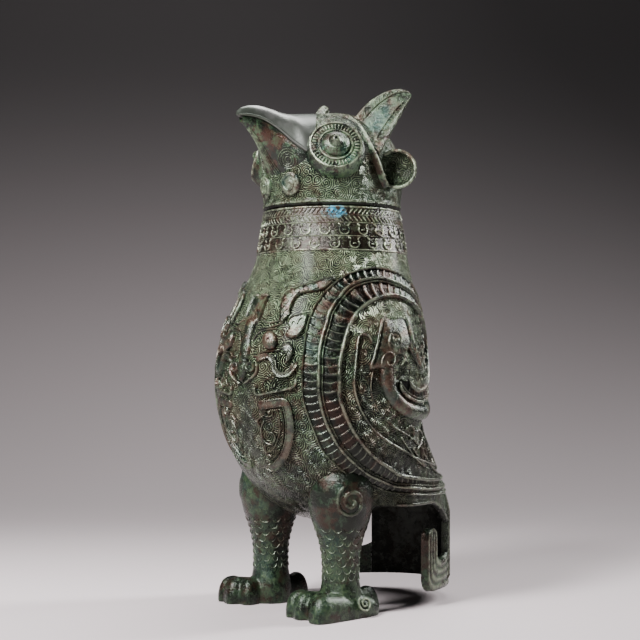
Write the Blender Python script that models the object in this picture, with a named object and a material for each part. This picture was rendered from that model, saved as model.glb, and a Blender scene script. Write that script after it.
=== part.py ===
"""Bronze owl vessel: a hollow bird body on two legs with a hooked tail, with the head as its lid."""

import math

import bmesh
import bpy
from mathutils import Vector

# Sizes are in millimetres from the neck axis and the floor; the bird faces -Y and its left side is +X
MM = 0.001

# Clearances
SEAT_GAP = 0.3
STEM_GAP = 0.3
LID_GAP = 0.4

# Vessel body
MOUTH_HEIGHT = 308.0
MOUTH_RADIUS = 53.3
NECK_FOOT_HEIGHT = 275.0
NECK_FOOT_RADIUS = 58.6
SHOULDER_DROP = 26.0
SHOULDER_FLARE = 5.0
BREAST_HEIGHT = 176.0
BREAST_FULLNESS = 46.0
BREAST_REACH = 92.4
FLANK_REACH = 86.0
BACK_REACH = 60.0
BELLY_FULLNESS = 58.0
BELLY_ROUNDNESS = 0.6
BELLY_HEIGHT = 66.0
BODY_WALL = 4.0

# Legs and feet
LEG_SPREAD = 43.5
LEG_FORWARD = 27.5
THIGH_TOP = 110.0
THIGH_HEIGHT = 86.0
THIGH_RADIUS = 24.5
SHANK_HEIGHT = 48.0
SHANK_RADIUS = 14.2
ANKLE_HEIGHT = 26.0
FOOT_RADIUS = 16.5
FOOT_HEIGHT = 13.0
STUB_RADIUS = 9.5
STUB_END = 62.0
CORE_RADIUS = 7.5
CORE_END = 14.0
SOCKET_CLEAR = 5.0
TOE_WIDTH = 7.6
TOE_HEIGHT = 18.5
# Toes and spur as (degrees toward the outside, length); both feet turn a little to the bird's right
LEFT_TOES = ((-38.0, 41.0), (-19.0, 37.0), (5.0, 31.0), (184.0, 37.0))
RIGHT_TOES = ((38.0, 42.0), (18.0, 38.0), (-2.0, 30.0), (176.0, 37.0))

# Tail: a skirt round the back, and a wall behind that is open at the flanks
TAIL_TOP_HEIGHT = 150.0
TAIL_TUCK = 2.0
TAIL_TOP_FLANK = 76.0
TAIL_TOP_SLOPE = 24.0
TAIL_TOP_SWELL = 16.0
TAIL_TURN_SLOPE = 22.0
TAIL_TURN_SWELL = 6.0
TAIL_TURN_HEIGHT = 70.0
TAIL_REACH = 110.0
TAIL_FOOT_HEIGHT = 12.0
TAIL_THICKNESS = 5.0
SKIRT_HEIGHT = 80.0
SKIRT_FLANK = 68.0
SKIRT_FRONT_ANGLE = 88.0
SKIRT_FULL_ANGLE = 114.0
WALL_ANGLE = 151.6
ARCH_ANGLE = 130.0
ARCH_DROP = 18.0
FEATHER_ANGLES = (122.0, 136.0, 150.0, 165.0, 180.0)
FEATHER_TOP = 146.0
FEATHER_FOOT = 111.0
FEATHER_WIDTH = 8.0
FEATHER_LIFT = 1.4

# Curled hooks in front of the tail wall, as angles in front of the wall's edge and heights above its foot
HOOK_REACH = 26.3
HOOK_BAR = 11.2
HOOK_SOLE = 22.4
HOOK_RISE = 49.0
HOOK_CORNER = 11.0

# Wings
BAND_WIDTH = 17.0
BAND_HEIGHT = 3.2
BAND_GROOVE = 1.2
# The band runs over the thigh as (angle, height from the thigh's top), then round the coil as
# (angle, height from the coil's middle in shares of its half height)
BAND_RUN = ((158.0, -15.0), (136.0, -13.0), (112.0, -8.5), (92.0, -1.5), (74.0, 9.0), (60.0, 24.0))
BAND_TURN = ((50.0, -1.38), (45.0, -0.81), (44.0, -0.27), (46.5, 0.24), (53.0, 0.70), (64.0, 1.08),
             (80.0, 1.31), (97.0, 1.32), (112.0, 1.11))
COIL_ANGLE = 92.0
COIL_HEIGHT = 203.0
COIL_HALF_LENGTH = 51.0
COIL_HALF_HEIGHT = 37.0
COIL_THICKNESS = 3.4
COIL_RIM = 2.4
HEAD_RELIEF_TURN = 10.0
HEAD_RELIEF_RISE = 2.0
HEAD_RELIEF_WIDTH = 10.0
HEAD_RELIEF_LENGTH = 16.0
HEAD_RELIEF_DEPTH = 5.0
RELIEF_GAP = 0.9

# Raised ornament cast on the breast, for its left half: width, lift, and knots as (angle, height)
LINE_ROOT = 1.6
LINE_TOP = 0.72
SHIELD = (3.2, 2.3, ((-3.0, 240.5), (9.0, 240.0), (12.6, 234.0), (11.6, 223.0)))
NOSE = (3.2, 2.0, ((11.7, 215.0), (12.7, 200.0), (12.6, 188.0), (9.5, 180.0)))
HORN_SCROLL = (7.5, 2.2, ((25.6, 221.0), (25.2, 232.0), (30.0, 241.0), (40.0, 245.5), (50.5, 251.0)))
MASK_EYE = (10.0, 2.8, ((18.4, 213.5), (19.4, 206.5), (20.2, 199.5)))
MASK_EAR = (9.0, 2.5, ((35.2, 223.0), (32.4, 216.0), (29.2, 209.0)))
CHEEK_HOOK = (5.0, 2.4, ((28.6, 203.0), (30.6, 197.0), (29.2, 190.0)))
JAW = (4.4, 2.4, ((12.8, 192.0), (20.5, 194.5), (24.6, 185.5), (29.5, 180.5), (33.7, 190.0)))
MOUTH_LINE = (2.8, 1.8, ((13.0, 174.0), (15.5, 167.0), (25.0, 169.5), (33.5, 173.0), (34.0, 178.5)))
PANEL = (2.8, 1.9, ((13.7, 160.0), (29.0, 163.0), (31.8, 147.0), (29.0, 129.0), (15.5, 110.0)))
DRAGON = (2.6, 1.6, ((17.0, 149.0), (14.0, 140.0), (18.0, 130.5), (21.5, 136.0)))
BREAST_LINES = (SHIELD, NOSE, HORN_SCROLL, MASK_EYE, MASK_EAR, CHEEK_HOOK, JAW, MOUTH_LINE, PANEL, DRAGON)

# Lid: the hollow head, with heights measured up from the mouth
HEAD_RADIUS = 55.8
HEAD_CHEEK_RISE = 25.0
CROWN_RISE = 77.5
CROWN_FULLNESS = 0.62
HEAD_WALL = 3.5
FLANGE_WALL = 3.0
FLANGE_DEPTH = 14.0
FLANGE_RISE = 7.0

# Beak: distance in front of the neck axis, half width, and the rise of mouth line and outside
UPPER_STATIONS = ((8.0, 16.0, 52.0, 76.8), (25.0, 27.0, 44.0, 74.8), (40.0, 31.0, 38.5, 72.8),
                  (48.0, 30.0, 40.2, 72.0), (55.0, 22.0, 47.6, 72.6), (63.0, 14.5, 57.0, 74.4),
                  (72.0, 9.0, 63.5, 75.6), (81.0, 5.6, 66.0, 74.8), (88.0, 3.2, 66.4, 72.4),
                  (91.6, 1.4, 66.8, 69.6))
LOWER_STATIONS = ((36.0, 30.0, 38.0, 10.0), (48.0, 27.5, 39.4, 18.0), (55.0, 20.5, 46.6, 24.0),
                  (63.0, 13.5, 56.0, 34.0), (72.0, 8.2, 62.6, 47.5), (80.0, 5.0, 65.1, 56.0),
                  (88.0, 2.2, 65.6, 61.6))
DOWEL_FORWARD = 60.0
DOWEL_RADIUS = 2.6
DOWEL_TOP_RISE = 63.0
DOWEL_END_RISE = 43.0

# Eyes
EYE_ANGLE = 53.5
EYE_TILT = 24.0
EYE_RISE = 43.5
EYE_SINK = 14.0
EYE_STAND_OFF = 1.4
EYE_RADIUS = 19.5
EYE_RIM = 2.4
BOSS_RADIUS = 10.5
BOSS_HEIGHT = 6.5
NIPPLE_RADIUS = 3.0
NIPPLE_HEIGHT = 3.0
EYE_STEM_RADIUS = 2.3
EYE_STEM_LENGTH = 10.0

# Horns and ears
# Places as distances left of and behind the neck axis, and above the mouth
HORN_INNER_PLACE = (28.0, 2.0, 72.0)
HORN_OUTER_PLACE = (57.0, 7.0, 44.0)
HORN_TIP_PLACE = (53.3, 35.5, 89.5)
HORN_ROOT = 7.0
HORN_BULGE = 9.0
HORN_THICKNESS = 5.0
HORN_STEM_RADIUS = 2.0
HORN_STEM_IN = 5.0
EAR_PLACE = (51.8, 21.5, 29.6)
EAR_AXIS = (0.76, -0.64, 0.10)
EAR_RADIUS = 15.5
EAR_DEPTH = 9.0
EAR_WALL = 2.6
EAR_STEM_ANGLE = 121.5
EAR_STEM_RADIUS = 2.0
EAR_STEM_LENGTH = 9.0

# Facets
BODY_SIDES = 32
BODY_STEPS = 8
HOLLOW_STEPS = 5
HEAD_SIDES = 28
LEG_SIDES = 18
SMOOTH_ANGLE = math.radians(38.0)
WELD = 0.005

# Values that follow from the sizes above
MOUTH_BORE = MOUTH_RADIUS - BODY_WALL
FLANGE_RADIUS = MOUTH_BORE - LID_GAP
LID_REST = MOUTH_HEIGHT + SEAT_GAP
HEAD_CHEEK_HEIGHT = MOUTH_HEIGHT + HEAD_CHEEK_RISE
CROWN_HEIGHT = MOUTH_HEIGHT + CROWN_RISE
UPPER_BILL, LOWER_BILL = ([(ahead, half, MOUTH_HEIGHT + mouth, MOUTH_HEIGHT + far)
                           for ahead, half, mouth, far in stations]
                          for stations in (UPPER_STATIONS, LOWER_STATIONS))
DOWEL_TOP = MOUTH_HEIGHT + DOWEL_TOP_RISE
DOWEL_END = MOUTH_HEIGHT + DOWEL_END_RISE
EYE_HEIGHT = MOUTH_HEIGHT + EYE_RISE
HORN_INNER, HORN_OUTER, HORN_TIP, EAR_CENTRE = ((x, y, MOUTH_HEIGHT + rise) for x, y, rise in (
    HORN_INNER_PLACE, HORN_OUTER_PLACE, HORN_TIP_PLACE, EAR_PLACE))
BEAK_REACH = UPPER_BILL[-1][0]
NECK_AXIS_Y = (max(BREAST_REACH, BEAK_REACH) - TAIL_REACH) / 2.0


def curve(a, b, c, d, t):
    """Value on a cubic curve that leaves a toward b and reaches d from c."""
    s = 1.0 - t
    return a * s**3 + 3.0 * b * s * s * t + 3.0 * c * s * t * t + d * t**3


def ease(t):
    """Smooth step from 0 to 1."""
    return t * t * (3.0 - 2.0 * t)


def at_angle(angle, radius, height):
    """Point at an angle in degrees from the front, turning toward the bird's left side."""
    a = math.radians(angle)
    return Vector((radius * math.sin(a), -radius * math.cos(a), height))


def oval_radius(angle, front, flank, back):
    """Distance from the neck axis to an oval in the direction of an angle in degrees."""
    a = math.radians(angle)
    reach = front if math.cos(a) > 0.0 else back
    return 1.0 / math.hypot(math.sin(a) / flank, math.cos(a) / reach)


def shoulder_level(t, out):
    """Height and front, flank and back reach between the neck foot and the breast."""
    neck = NECK_FOOT_RADIUS + out
    height = curve(NECK_FOOT_HEIGHT, NECK_FOOT_HEIGHT - SHOULDER_DROP, BREAST_HEIGHT + BREAST_FULLNESS,
                   BREAST_HEIGHT, t)
    reaches = [curve(neck, neck + SHOULDER_FLARE, r + out, r + out, t)
               for r in (BREAST_REACH, FLANK_REACH, BACK_REACH)]
    return height, *reaches


def belly_level(t, out):
    """Height and front, flank and back reach between the breast and the belly's lowest point."""
    low = BELLY_HEIGHT - out
    height = curve(BREAST_HEIGHT, BREAST_HEIGHT - BELLY_FULLNESS, low, low, t)
    reaches = [curve(r + out, r + out, (r + out) * BELLY_ROUNDNESS, 0.0, t)
               for r in (BREAST_REACH, FLANK_REACH, BACK_REACH)]
    return height, *reaches


def body_level_at(height):
    """Front, flank and back reach of the body's outside at a height below the neck."""
    level = shoulder_level if height > BREAST_HEIGHT else belly_level
    low, high = 0.0, 1.0
    for _ in range(40):
        middle = (low + high) / 2.0
        if level(middle, 0.0)[0] > height:
            low = middle
        else:
            high = middle
    return level(low, 0.0)[1:]


def tail_level_at(height, inward):
    """Flank and back reach of the tail's outside at a height, moved inward by a thickness."""
    top_reach = BACK_REACH - TAIL_TUCK
    share = min(1.0, (TAIL_TOP_HEIGHT - height) / (TAIL_TOP_HEIGHT - SKIRT_HEIGHT))
    flank = TAIL_TOP_FLANK + (SKIRT_FLANK - TAIL_TOP_FLANK) * share
    if height <= TAIL_TURN_HEIGHT:
        return flank - inward, TAIL_REACH - inward
    low, high = 0.0, 1.0
    for _ in range(40):
        middle = (low + high) / 2.0
        z = curve(TAIL_TOP_HEIGHT, TAIL_TOP_HEIGHT - TAIL_TOP_SLOPE, TAIL_TURN_HEIGHT + TAIL_TURN_SLOPE,
                  TAIL_TURN_HEIGHT, middle)
        if z > height:
            low = middle
        else:
            high = middle
    reach = curve(top_reach, top_reach + TAIL_TOP_SWELL, TAIL_REACH - TAIL_TURN_SWELL, TAIL_REACH, low)
    return flank - inward, reach - inward


def tail_radius(angle, height, inward):
    """Distance from the neck axis to the tail's skin; its front ends fade into the body behind the thighs."""
    flank, back = tail_level_at(height, inward)
    radius = oval_radius(angle, back, flank, back)
    turn = min(angle, 360.0 - angle)
    if turn < SKIRT_FULL_ANGLE:
        body = oval_radius(turn, *body_level_at(height)) - TAIL_TUCK - inward
        share = max(0.0, (turn - SKIRT_FRONT_ANGLE) / (SKIRT_FULL_ANGLE - SKIRT_FRONT_ANGLE))
        radius = body + (radius - body) * ease(share)
    return radius


def skin_radius(angle, height):
    """Distance from the neck axis to the outside of the body or the tail, whichever is further out."""
    radius = oval_radius(angle, *body_level_at(height))
    if angle >= SKIRT_FRONT_ANGLE and height < TAIL_TOP_HEIGHT:
        radius = max(radius, tail_radius(angle, height, 0.0))
    return radius


def make_object(name, points, faces):
    """Closed mesh object from points in millimetres, with its normals facing outward."""
    mesh = bpy.data.meshes.new(name)
    mesh.from_pydata([Vector(p) * MM for p in points], [], faces)
    work = bmesh.new()
    work.from_mesh(mesh)
    bmesh.ops.recalc_face_normals(work, faces=work.faces)
    work.to_mesh(mesh)
    work.free()
    thing = bpy.data.objects.new(name, mesh)
    bpy.context.scene.collection.objects.link(thing)
    return thing


def loft(name, rings, first=None, last=None):
    """Closed skin over rings of points; a pole point closes an end, or a flat face does."""
    count = len(rings[0])
    points = [p for ring in rings for p in ring]
    faces = []
    for i in range(len(rings) - 1):
        for j in range(count):
            k = (j + 1) % count
            faces.append((i * count + j, i * count + k, (i + 1) * count + k, (i + 1) * count + j))
    for pole, start in ((first, 0), (last, (len(rings) - 1) * count)):
        loop = list(range(start, start + count))
        if pole is None:
            faces.append(loop)
            continue
        points.append(pole)
        tip = len(points) - 1
        faces.extend((loop[j], loop[(j + 1) % count], tip) for j in range(count))
    return make_object(name, points, faces)


def turned(name, outline, sides, base, axis):
    """Round solid turned about an axis from base; outline points are (radius, height along the axis)."""
    up = Vector(axis).normalized()
    turn = up.to_track_quat('Z', 'Y')
    base = Vector(base)
    start = base + up * outline[0][1] if outline[0][0] == 0.0 else None
    end = base + up * outline[-1][1] if outline[-1][0] == 0.0 else None
    rings = []
    for radius, height in outline:
        if radius == 0.0:
            continue
        angles = [2.0 * math.pi * i / sides for i in range(sides)]
        rings.append([base + turn @ Vector((radius * math.cos(a), radius * math.sin(a), height))
                      for a in angles])
    if start is None and end is None:
        return loft_ring(name, rings)
    return loft(name, rings, start, end)


def loft_ring(name, rings):
    """Closed skin over rings where the last ring joins the first, as a pierced disc does."""
    count = len(rings[0])
    points = [p for ring in rings for p in ring]
    faces = []
    for i in range(len(rings)):
        n = (i + 1) % len(rings)
        for j in range(count):
            k = (j + 1) % count
            faces.append((i * count + j, i * count + k, n * count + k, n * count + j))
    return make_object(name, points, faces)


def rod(name, start, end, radius, sides=12):
    """Round bar between two points."""
    start, end = Vector(start), Vector(end)
    length = (end - start).length
    outline = ((0.0, 0.0), (radius, 0.0), (radius, length), (0.0, length))
    return turned(name, outline, sides, start, end - start)


def combine(target, tool, operation):
    """Apply one Boolean step to the target and drop the tool."""
    step = target.modifiers.new("step", 'BOOLEAN')
    step.operation = operation
    step.solver = 'EXACT'
    step.object = tool
    graph = bpy.context.evaluated_depsgraph_get()
    mesh = bpy.data.meshes.new_from_object(target.evaluated_get(graph))
    target.modifiers.clear()
    work = bmesh.new()
    work.from_mesh(mesh)
    bmesh.ops.remove_doubles(work, verts=work.verts, dist=WELD * MM)
    bmesh.ops.dissolve_degenerate(work, edges=work.edges, dist=WELD * MM)
    work.to_mesh(mesh)
    work.free()
    target.data = mesh
    bpy.data.objects.remove(tool)


def join(target, tool):
    """Add a solid to the target."""
    combine(target, tool, 'UNION')


def cut(target, tool):
    """Take a solid away from the target."""
    combine(target, tool, 'DIFFERENCE')


def mirrored(thing, name):
    """Copy of a left-hand piece for the right-hand side."""
    points = [(-v.co.x / MM, v.co.y / MM, v.co.z / MM) for v in thing.data.vertices]
    faces = [tuple(reversed(p.vertices)) for p in thing.data.polygons]
    return make_object(name, points, faces)


def path_points(knots, steps):
    """Evenly stepped points on a smooth path through knots."""
    ends = [knots[0]] + list(knots) + [knots[-1]]
    points = []
    for i in range(1, len(ends) - 2):
        for k in range(steps):
            t = k / steps
            weights = (-0.5 * t + t * t - 0.5 * t**3, 1.0 - 2.5 * t * t + 1.5 * t**3,
                       0.5 * t + 2.0 * t * t - 1.5 * t**3, -0.5 * t * t + 0.5 * t**3)
            points.append(tuple(sum(w * ends[i - 1 + n][axis] for n, w in enumerate(weights))
                                for axis in (0, 1)))
    points.append(tuple(knots[-1]))
    return points


def raised_line(line, side, skin):
    """Flat-topped line rooted in a skin, low and narrow at its ends; side is -1 for the mirror image."""
    width, lift, knots = line
    path = path_points(knots, 2)
    rings = []
    for i, (angle, height) in enumerate(path):
        before, after = path[max(i - 1, 0)], path[min(i + 1, len(path) - 1)]
        arc = math.radians(1.0) * skin(angle, height)
        run = Vector(((after[0] - before[0]) * arc, after[1] - before[1])).normalized()
        size = 0.55 if i in (0, len(path) - 1) else 1.0
        ring = []
        for share, out in ((0.5, -LINE_ROOT), (0.5 * LINE_TOP, lift * size), (-0.5 * LINE_TOP, lift * size),
                           (-0.5, -LINE_ROOT)):
            a = angle - run.y * share * width * size / arc
            z = height + run.x * share * width * size
            ring.append(at_angle(side * a, skin(a, z) + out, z))
        rings.append(ring)
    return loft("line", rings)


def body_solid(name, out, top, steps):
    """Filled body shape moved out by an amount, with its flat top at a height."""
    levels = [(top, MOUTH_RADIUS + out, MOUTH_RADIUS + out, MOUTH_RADIUS + out)]
    if top > MOUTH_HEIGHT:
        levels.append((MOUTH_HEIGHT, MOUTH_RADIUS + out, MOUTH_RADIUS + out, MOUTH_RADIUS + out))
    levels += [shoulder_level(i / steps, out) for i in range(steps + 1)]
    levels += [belly_level(i / (steps + 1), out) for i in range(1, steps + 1)]
    rings = []
    for height, front, flank, back in levels:
        angles = [360.0 * (i + 0.5) / BODY_SIDES for i in range(BODY_SIDES)]
        rings.append([at_angle(a, oval_radius(a, front, flank, back), height) for a in angles])
    return loft(name, rings, None, Vector((0.0, 0.0, BELLY_HEIGHT - out)))


def build_body():
    """Hollow vessel with an open mouth, a mask on the breast and a stub under the belly for each leg."""
    body = body_solid("vessel_body", 0.0, MOUTH_HEIGHT, BODY_STEPS)
    for side in (1.0, -1.0):
        x = side * LEG_SPREAD
        top = BREAST_HEIGHT - BELLY_FULLNESS
        join(body, rod("stub", (x, -LEG_FORWARD, STUB_END), (x, -LEG_FORWARD, top), STUB_RADIUS, 16))
        for line in BREAST_LINES:
            join(body, raised_line(line, side, skin_radius))
    cut(body, body_solid("hollow", -BODY_WALL, MOUTH_HEIGHT + 10.0, HOLLOW_STEPS))
    return body


def leg_radius(height):
    """Radius of the leg from foot to thigh."""
    if height >= THIGH_HEIGHT:
        share = (height - THIGH_HEIGHT) / (THIGH_TOP - THIGH_HEIGHT)
        return THIGH_RADIUS * math.sqrt(1.0 - 0.6 * share * share)
    if height >= SHANK_HEIGHT:
        share = ease((height - SHANK_HEIGHT) / (THIGH_HEIGHT - SHANK_HEIGHT))
        return SHANK_RADIUS + (THIGH_RADIUS - SHANK_RADIUS) * share
    if height >= ANKLE_HEIGHT:
        return SHANK_RADIUS
    share = min(1.0, (ANKLE_HEIGHT - height) / (ANKLE_HEIGHT - FOOT_HEIGHT))
    return SHANK_RADIUS + (FOOT_RADIUS - SHANK_RADIUS) * ease(share)


def toe(turn, length):
    """One toe with a flat sole; turn is degrees from straight ahead toward the outside."""
    a = math.radians(turn)
    ahead = Vector((math.sin(a), -math.cos(a), 0.0))
    across = Vector((math.cos(a), math.sin(a), 0.0))
    root = Vector((LEG_SPREAD, -LEG_FORWARD, 0.0))
    rings = []
    for share, width, height in ((0.1, 0.95, 1.0), (0.5, 1.0, 0.95), (0.75, 0.95, 0.82), (0.92, 0.7, 0.55),
                                 (1.0, 0.35, 0.25)):
        centre = root + ahead * (length * share)
        ring = [centre + across * (-TOE_WIDTH * width)]
        for i in range(7):
            b = math.pi - math.pi * i / 6.0
            lift = TOE_HEIGHT * height * (0.35 + 0.65 * math.sin(b))
            ring.append(centre + across * (TOE_WIDTH * width * math.cos(b)) + Vector((0.0, 0.0, lift)))
        ring.append(centre + across * (TOE_WIDTH * width))
        rings.append(ring)
    return loft("toe", rings)


def leg_shaft(name):
    """Filled thigh and shank."""
    heights = [THIGH_TOP, (THIGH_TOP + THIGH_HEIGHT) / 2.0]
    heights += [THIGH_HEIGHT + (SHANK_HEIGHT - THIGH_HEIGHT) * i / 5.0 for i in range(6)]
    heights += [ANKLE_HEIGHT, (ANKLE_HEIGHT + FOOT_HEIGHT) / 2.0, FOOT_HEIGHT, 0.0]
    rings = []
    for height in heights:
        ring = []
        for i in range(LEG_SIDES):
            a = 2.0 * math.pi * i / LEG_SIDES
            r = leg_radius(height)
            ring.append(Vector((LEG_SPREAD + r * math.cos(a), -LEG_FORWARD + r * math.sin(a), height)))
        rings.append(ring)
    return loft(name, rings)


def build_leg(name, toes):
    """Hollow cast leg and foot, on the left, with a socket for the stub above its clay core."""
    leg = leg_shaft(name)
    for turn, length in toes:
        join(leg, toe(turn, length))
    cut(leg, body_solid("seat", SEAT_GAP, MOUTH_HEIGHT, BODY_STEPS))
    shelf = STUB_END - SEAT_GAP
    socket = STUB_RADIUS + STEM_GAP
    outline = ((0.0, CORE_END), (CORE_RADIUS, CORE_END), (socket, shelf), (socket, THIGH_TOP + SOCKET_CLEAR),
               (0.0, THIGH_TOP + SOCKET_CLEAR))
    cut(leg, turned("socket", outline, 16, (LEG_SPREAD, -LEG_FORWARD, 0.0), (0.0, 0.0, 1.0)))
    return leg


def build_core():
    """Fired-clay casting core left inside the leg below the stub."""
    outline = ((0.0, CORE_END + SEAT_GAP), (CORE_RADIUS - SEAT_GAP, CORE_END + SEAT_GAP),
               (STUB_RADIUS, STUB_END - 2.0 * SEAT_GAP), (0.0, STUB_END - 2.0 * SEAT_GAP))
    return turned("left_leg_core", outline, 16, (LEG_SPREAD, -LEG_FORWARD, 0.0), (0.0, 0.0, 1.0))


def tail_skin_radius(angle, height):
    """Distance from the neck axis to the outside of the tail."""
    return tail_radius(angle, height, 0.0)


def arch_height(angle):
    """Height of the skirt's lower edge, which bends down into the wall behind the flank openings."""
    share = (min(angle, 360.0 - angle) - ARCH_ANGLE) / (WALL_ANGLE - ARCH_ANGLE)
    return SKIRT_HEIGHT - ARCH_DROP * min(1.0, max(0.0, share))**2


def build_tail():
    """Flared skirt around the back with a broad wall behind that drops almost to the floor."""
    half = [SKIRT_FRONT_ANGLE + (SKIRT_FULL_ANGLE - SKIRT_FRONT_ANGLE) * i / 8.0 for i in range(8)]
    half += [SKIRT_FULL_ANGLE + (ARCH_ANGLE - SKIRT_FULL_ANGLE) * i / 3.0 for i in range(3)]
    half += [ARCH_ANGLE + (WALL_ANGLE - ARCH_ANGLE) * i / 5.0 for i in range(5)]
    wall_start = len(half)
    half += [WALL_ANGLE + (180.0 - WALL_ANGLE) * i / 4.0 for i in range(4)]
    angles = half + [180.0] + [360.0 - a for a in reversed(half)]
    wide = len(angles)
    skirt_rows, wall_rows = 7, 3
    points = []
    for inward in (0.0, TAIL_THICKNESS):
        for i in range(skirt_rows + wall_rows + 1):
            for angle in angles:
                edge = arch_height(angle)
                height = TAIL_TOP_HEIGHT + (edge - TAIL_TOP_HEIGHT) * i / skirt_rows
                if i > skirt_rows:
                    height = edge + (TAIL_FOOT_HEIGHT - edge) * (i - skirt_rows) / wall_rows
                points.append(at_angle(angle, tail_radius(angle, height, inward), height))
    inner = len(points) // 2
    kept = {(i, j) for i in range(skirt_rows + wall_rows) for j in range(wide - 1)
            if i < skirt_rows or wall_start <= j < wide - 1 - wall_start}
    faces = []
    for i, j in sorted(kept):
        a, b, c, d = i * wide + j, i * wide + j + 1, (i + 1) * wide + j + 1, (i + 1) * wide + j
        faces.append((a, b, c, d))
        faces.append((inner + d, inner + c, inner + b, inner + a))
        for beside, p, q in (((i - 1, j), a, b), ((i, j + 1), b, c), ((i + 1, j), c, d), ((i, j - 1), d, a)):
            if beside not in kept:
                faces.append((q, p, inner + p, inner + q))
    tail = make_object("tail", points, faces)
    for angle in FEATHER_ANGLES:
        feather = (FEATHER_WIDTH, FEATHER_LIFT, ((angle, FEATHER_TOP), (angle, FEATHER_FOOT)))
        for side in (1.0, -1.0) if angle < 180.0 else (1.0,):
            join(tail, raised_line(feather, side, tail_skin_radius))
    cut(tail, body_solid("seat", SEAT_GAP, MOUTH_HEIGHT, BODY_STEPS))
    return tail


def build_hook():
    """J-shaped hook in the tail's skin: its sole runs forward from the wall's foot and its bar curls up."""
    gap = math.degrees(SEAT_GAP / tail_radius(WALL_ANGLE, TAIL_FOOT_HEIGHT, 0.0))
    back = WALL_ANGLE - gap
    front = WALL_ANGLE - HOOK_REACH
    inside = front + HOOK_BAR
    slot = back - inside
    foot, sole, tip = TAIL_FOOT_HEIGHT, TAIL_FOOT_HEIGHT + HOOK_SOLE, TAIL_FOOT_HEIGHT + HOOK_RISE
    corner = HOOK_CORNER
    rungs = [((front + 0.38 * HOOK_BAR, tip), (inside - 0.36 * HOOK_BAR, tip)),
             ((front + 0.1 * HOOK_BAR, tip - 0.06 * HOOK_RISE),
              (inside - 0.08 * HOOK_BAR, tip - 0.06 * HOOK_RISE)),
             ((front, tip - 0.16 * HOOK_RISE), (inside, tip - 0.15 * HOOK_RISE)),
             ((front, foot + 1.7 * corner), (inside, sole + 0.5 * corner))]
    for i in range(5):
        a = math.radians(90.0 * i / 4.0)
        outer = (front + 0.66 * corner * (1.0 - math.cos(a)), foot + corner * (1.0 - math.sin(a)))
        inner = (inside + slot * 0.5 * (1.0 - math.cos(a)), sole + 0.5 * corner * (1.0 - math.sin(a)))
        rungs.append((outer, inner))
    for share in (0.5, 1.0):
        start = front + 0.66 * corner
        rungs.append(((start + (back - start) * share, foot),
                      (back - slot * 0.5 * (1.0 - share), sole + 3.5 * share**2)))
    rings = []
    for (a, low), (b, high) in rungs:
        across = [(a + (b - a) * k / 3.0, low + (high - low) * k / 3.0) for k in range(4)]
        ring = [at_angle(angle, tail_radius(angle, z, 0.0), z) for angle, z in across]
        ring += [at_angle(angle, tail_radius(angle, z, TAIL_THICKNESS), z) for angle, z in reversed(across)]
        rings.append(ring)
    return loft("left_tail_hook", rings)


def build_band():
    """Double wing band that runs from the tail along the flank and over the coil."""
    knots = [(angle, THIGH_TOP + rise) for angle, rise in BAND_RUN]
    knots += [(angle, COIL_HEIGHT + share * COIL_HALF_HEIGHT) for angle, share in BAND_TURN]
    path = path_points(knots, 4)
    rings = []
    for i, (angle, height) in enumerate(path):
        before, after = path[max(i - 1, 0)], path[min(i + 1, len(path) - 1)]
        arc = math.radians(1.0) * skin_radius(angle, height)
        run = Vector(((after[0] - before[0]) * arc, after[1] - before[1])).normalized()
        section = []
        for share, lift in ((0.45, 1.0), (0.08, 1.0), (0.0, 0.0), (-0.08, 1.0), (-0.45, 1.0), (-0.5, None),
                            (0.0, None), (0.5, None)):
            a = angle - run.y * share * BAND_WIDTH / arc
            z = height + run.x * share * BAND_WIDTH
            out = RELIEF_GAP
            if lift is not None:
                out = BAND_HEIGHT - BAND_GROOVE * (1.0 - lift)
            section.append(at_angle(a, skin_radius(a, z) + out, z))
        rings.append(section)
    return loft("left_wing_band", rings)


def raised_patch(name, centre, outline, heights, floor, shares):
    """Low relief on the body's skin; outline gives (along, up) for a turn, heights its lift for a share."""
    angle, height = centre
    arc = math.radians(1.0) * skin_radius(angle, height)
    rings = []
    levels = [(s, heights(s)) for s in shares] + [(s, floor) for s in reversed(shares)]
    for share, lift in levels:
        ring = []
        for along, up in outline:
            a = angle - along * share / arc
            z = height + up * share
            ring.append(at_angle(a, skin_radius(a, z) + lift, z))
        rings.append(ring)
    top = at_angle(angle, skin_radius(angle, height) + heights(0.0), height)
    bottom = at_angle(angle, skin_radius(angle, height) + floor, height)
    return loft(name, rings, top, bottom)


def build_coil():
    """Oval wing plate inside the band, with a raised rim."""
    outline = []
    for i in range(24):
        a = 2.0 * math.pi * i / 24
        outline.append((COIL_HALF_LENGTH * math.cos(a), COIL_HALF_HEIGHT * math.sin(a)))

    def lift(share):
        return COIL_THICKNESS + (COIL_RIM if 0.8 < share < 0.98 else 0.0)

    shares = (0.4, 0.78, 0.82, 0.96, 1.0)
    return raised_patch("left_wing_coil", (COIL_ANGLE, COIL_HEIGHT), outline, lift, RELIEF_GAP, shares)


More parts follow.
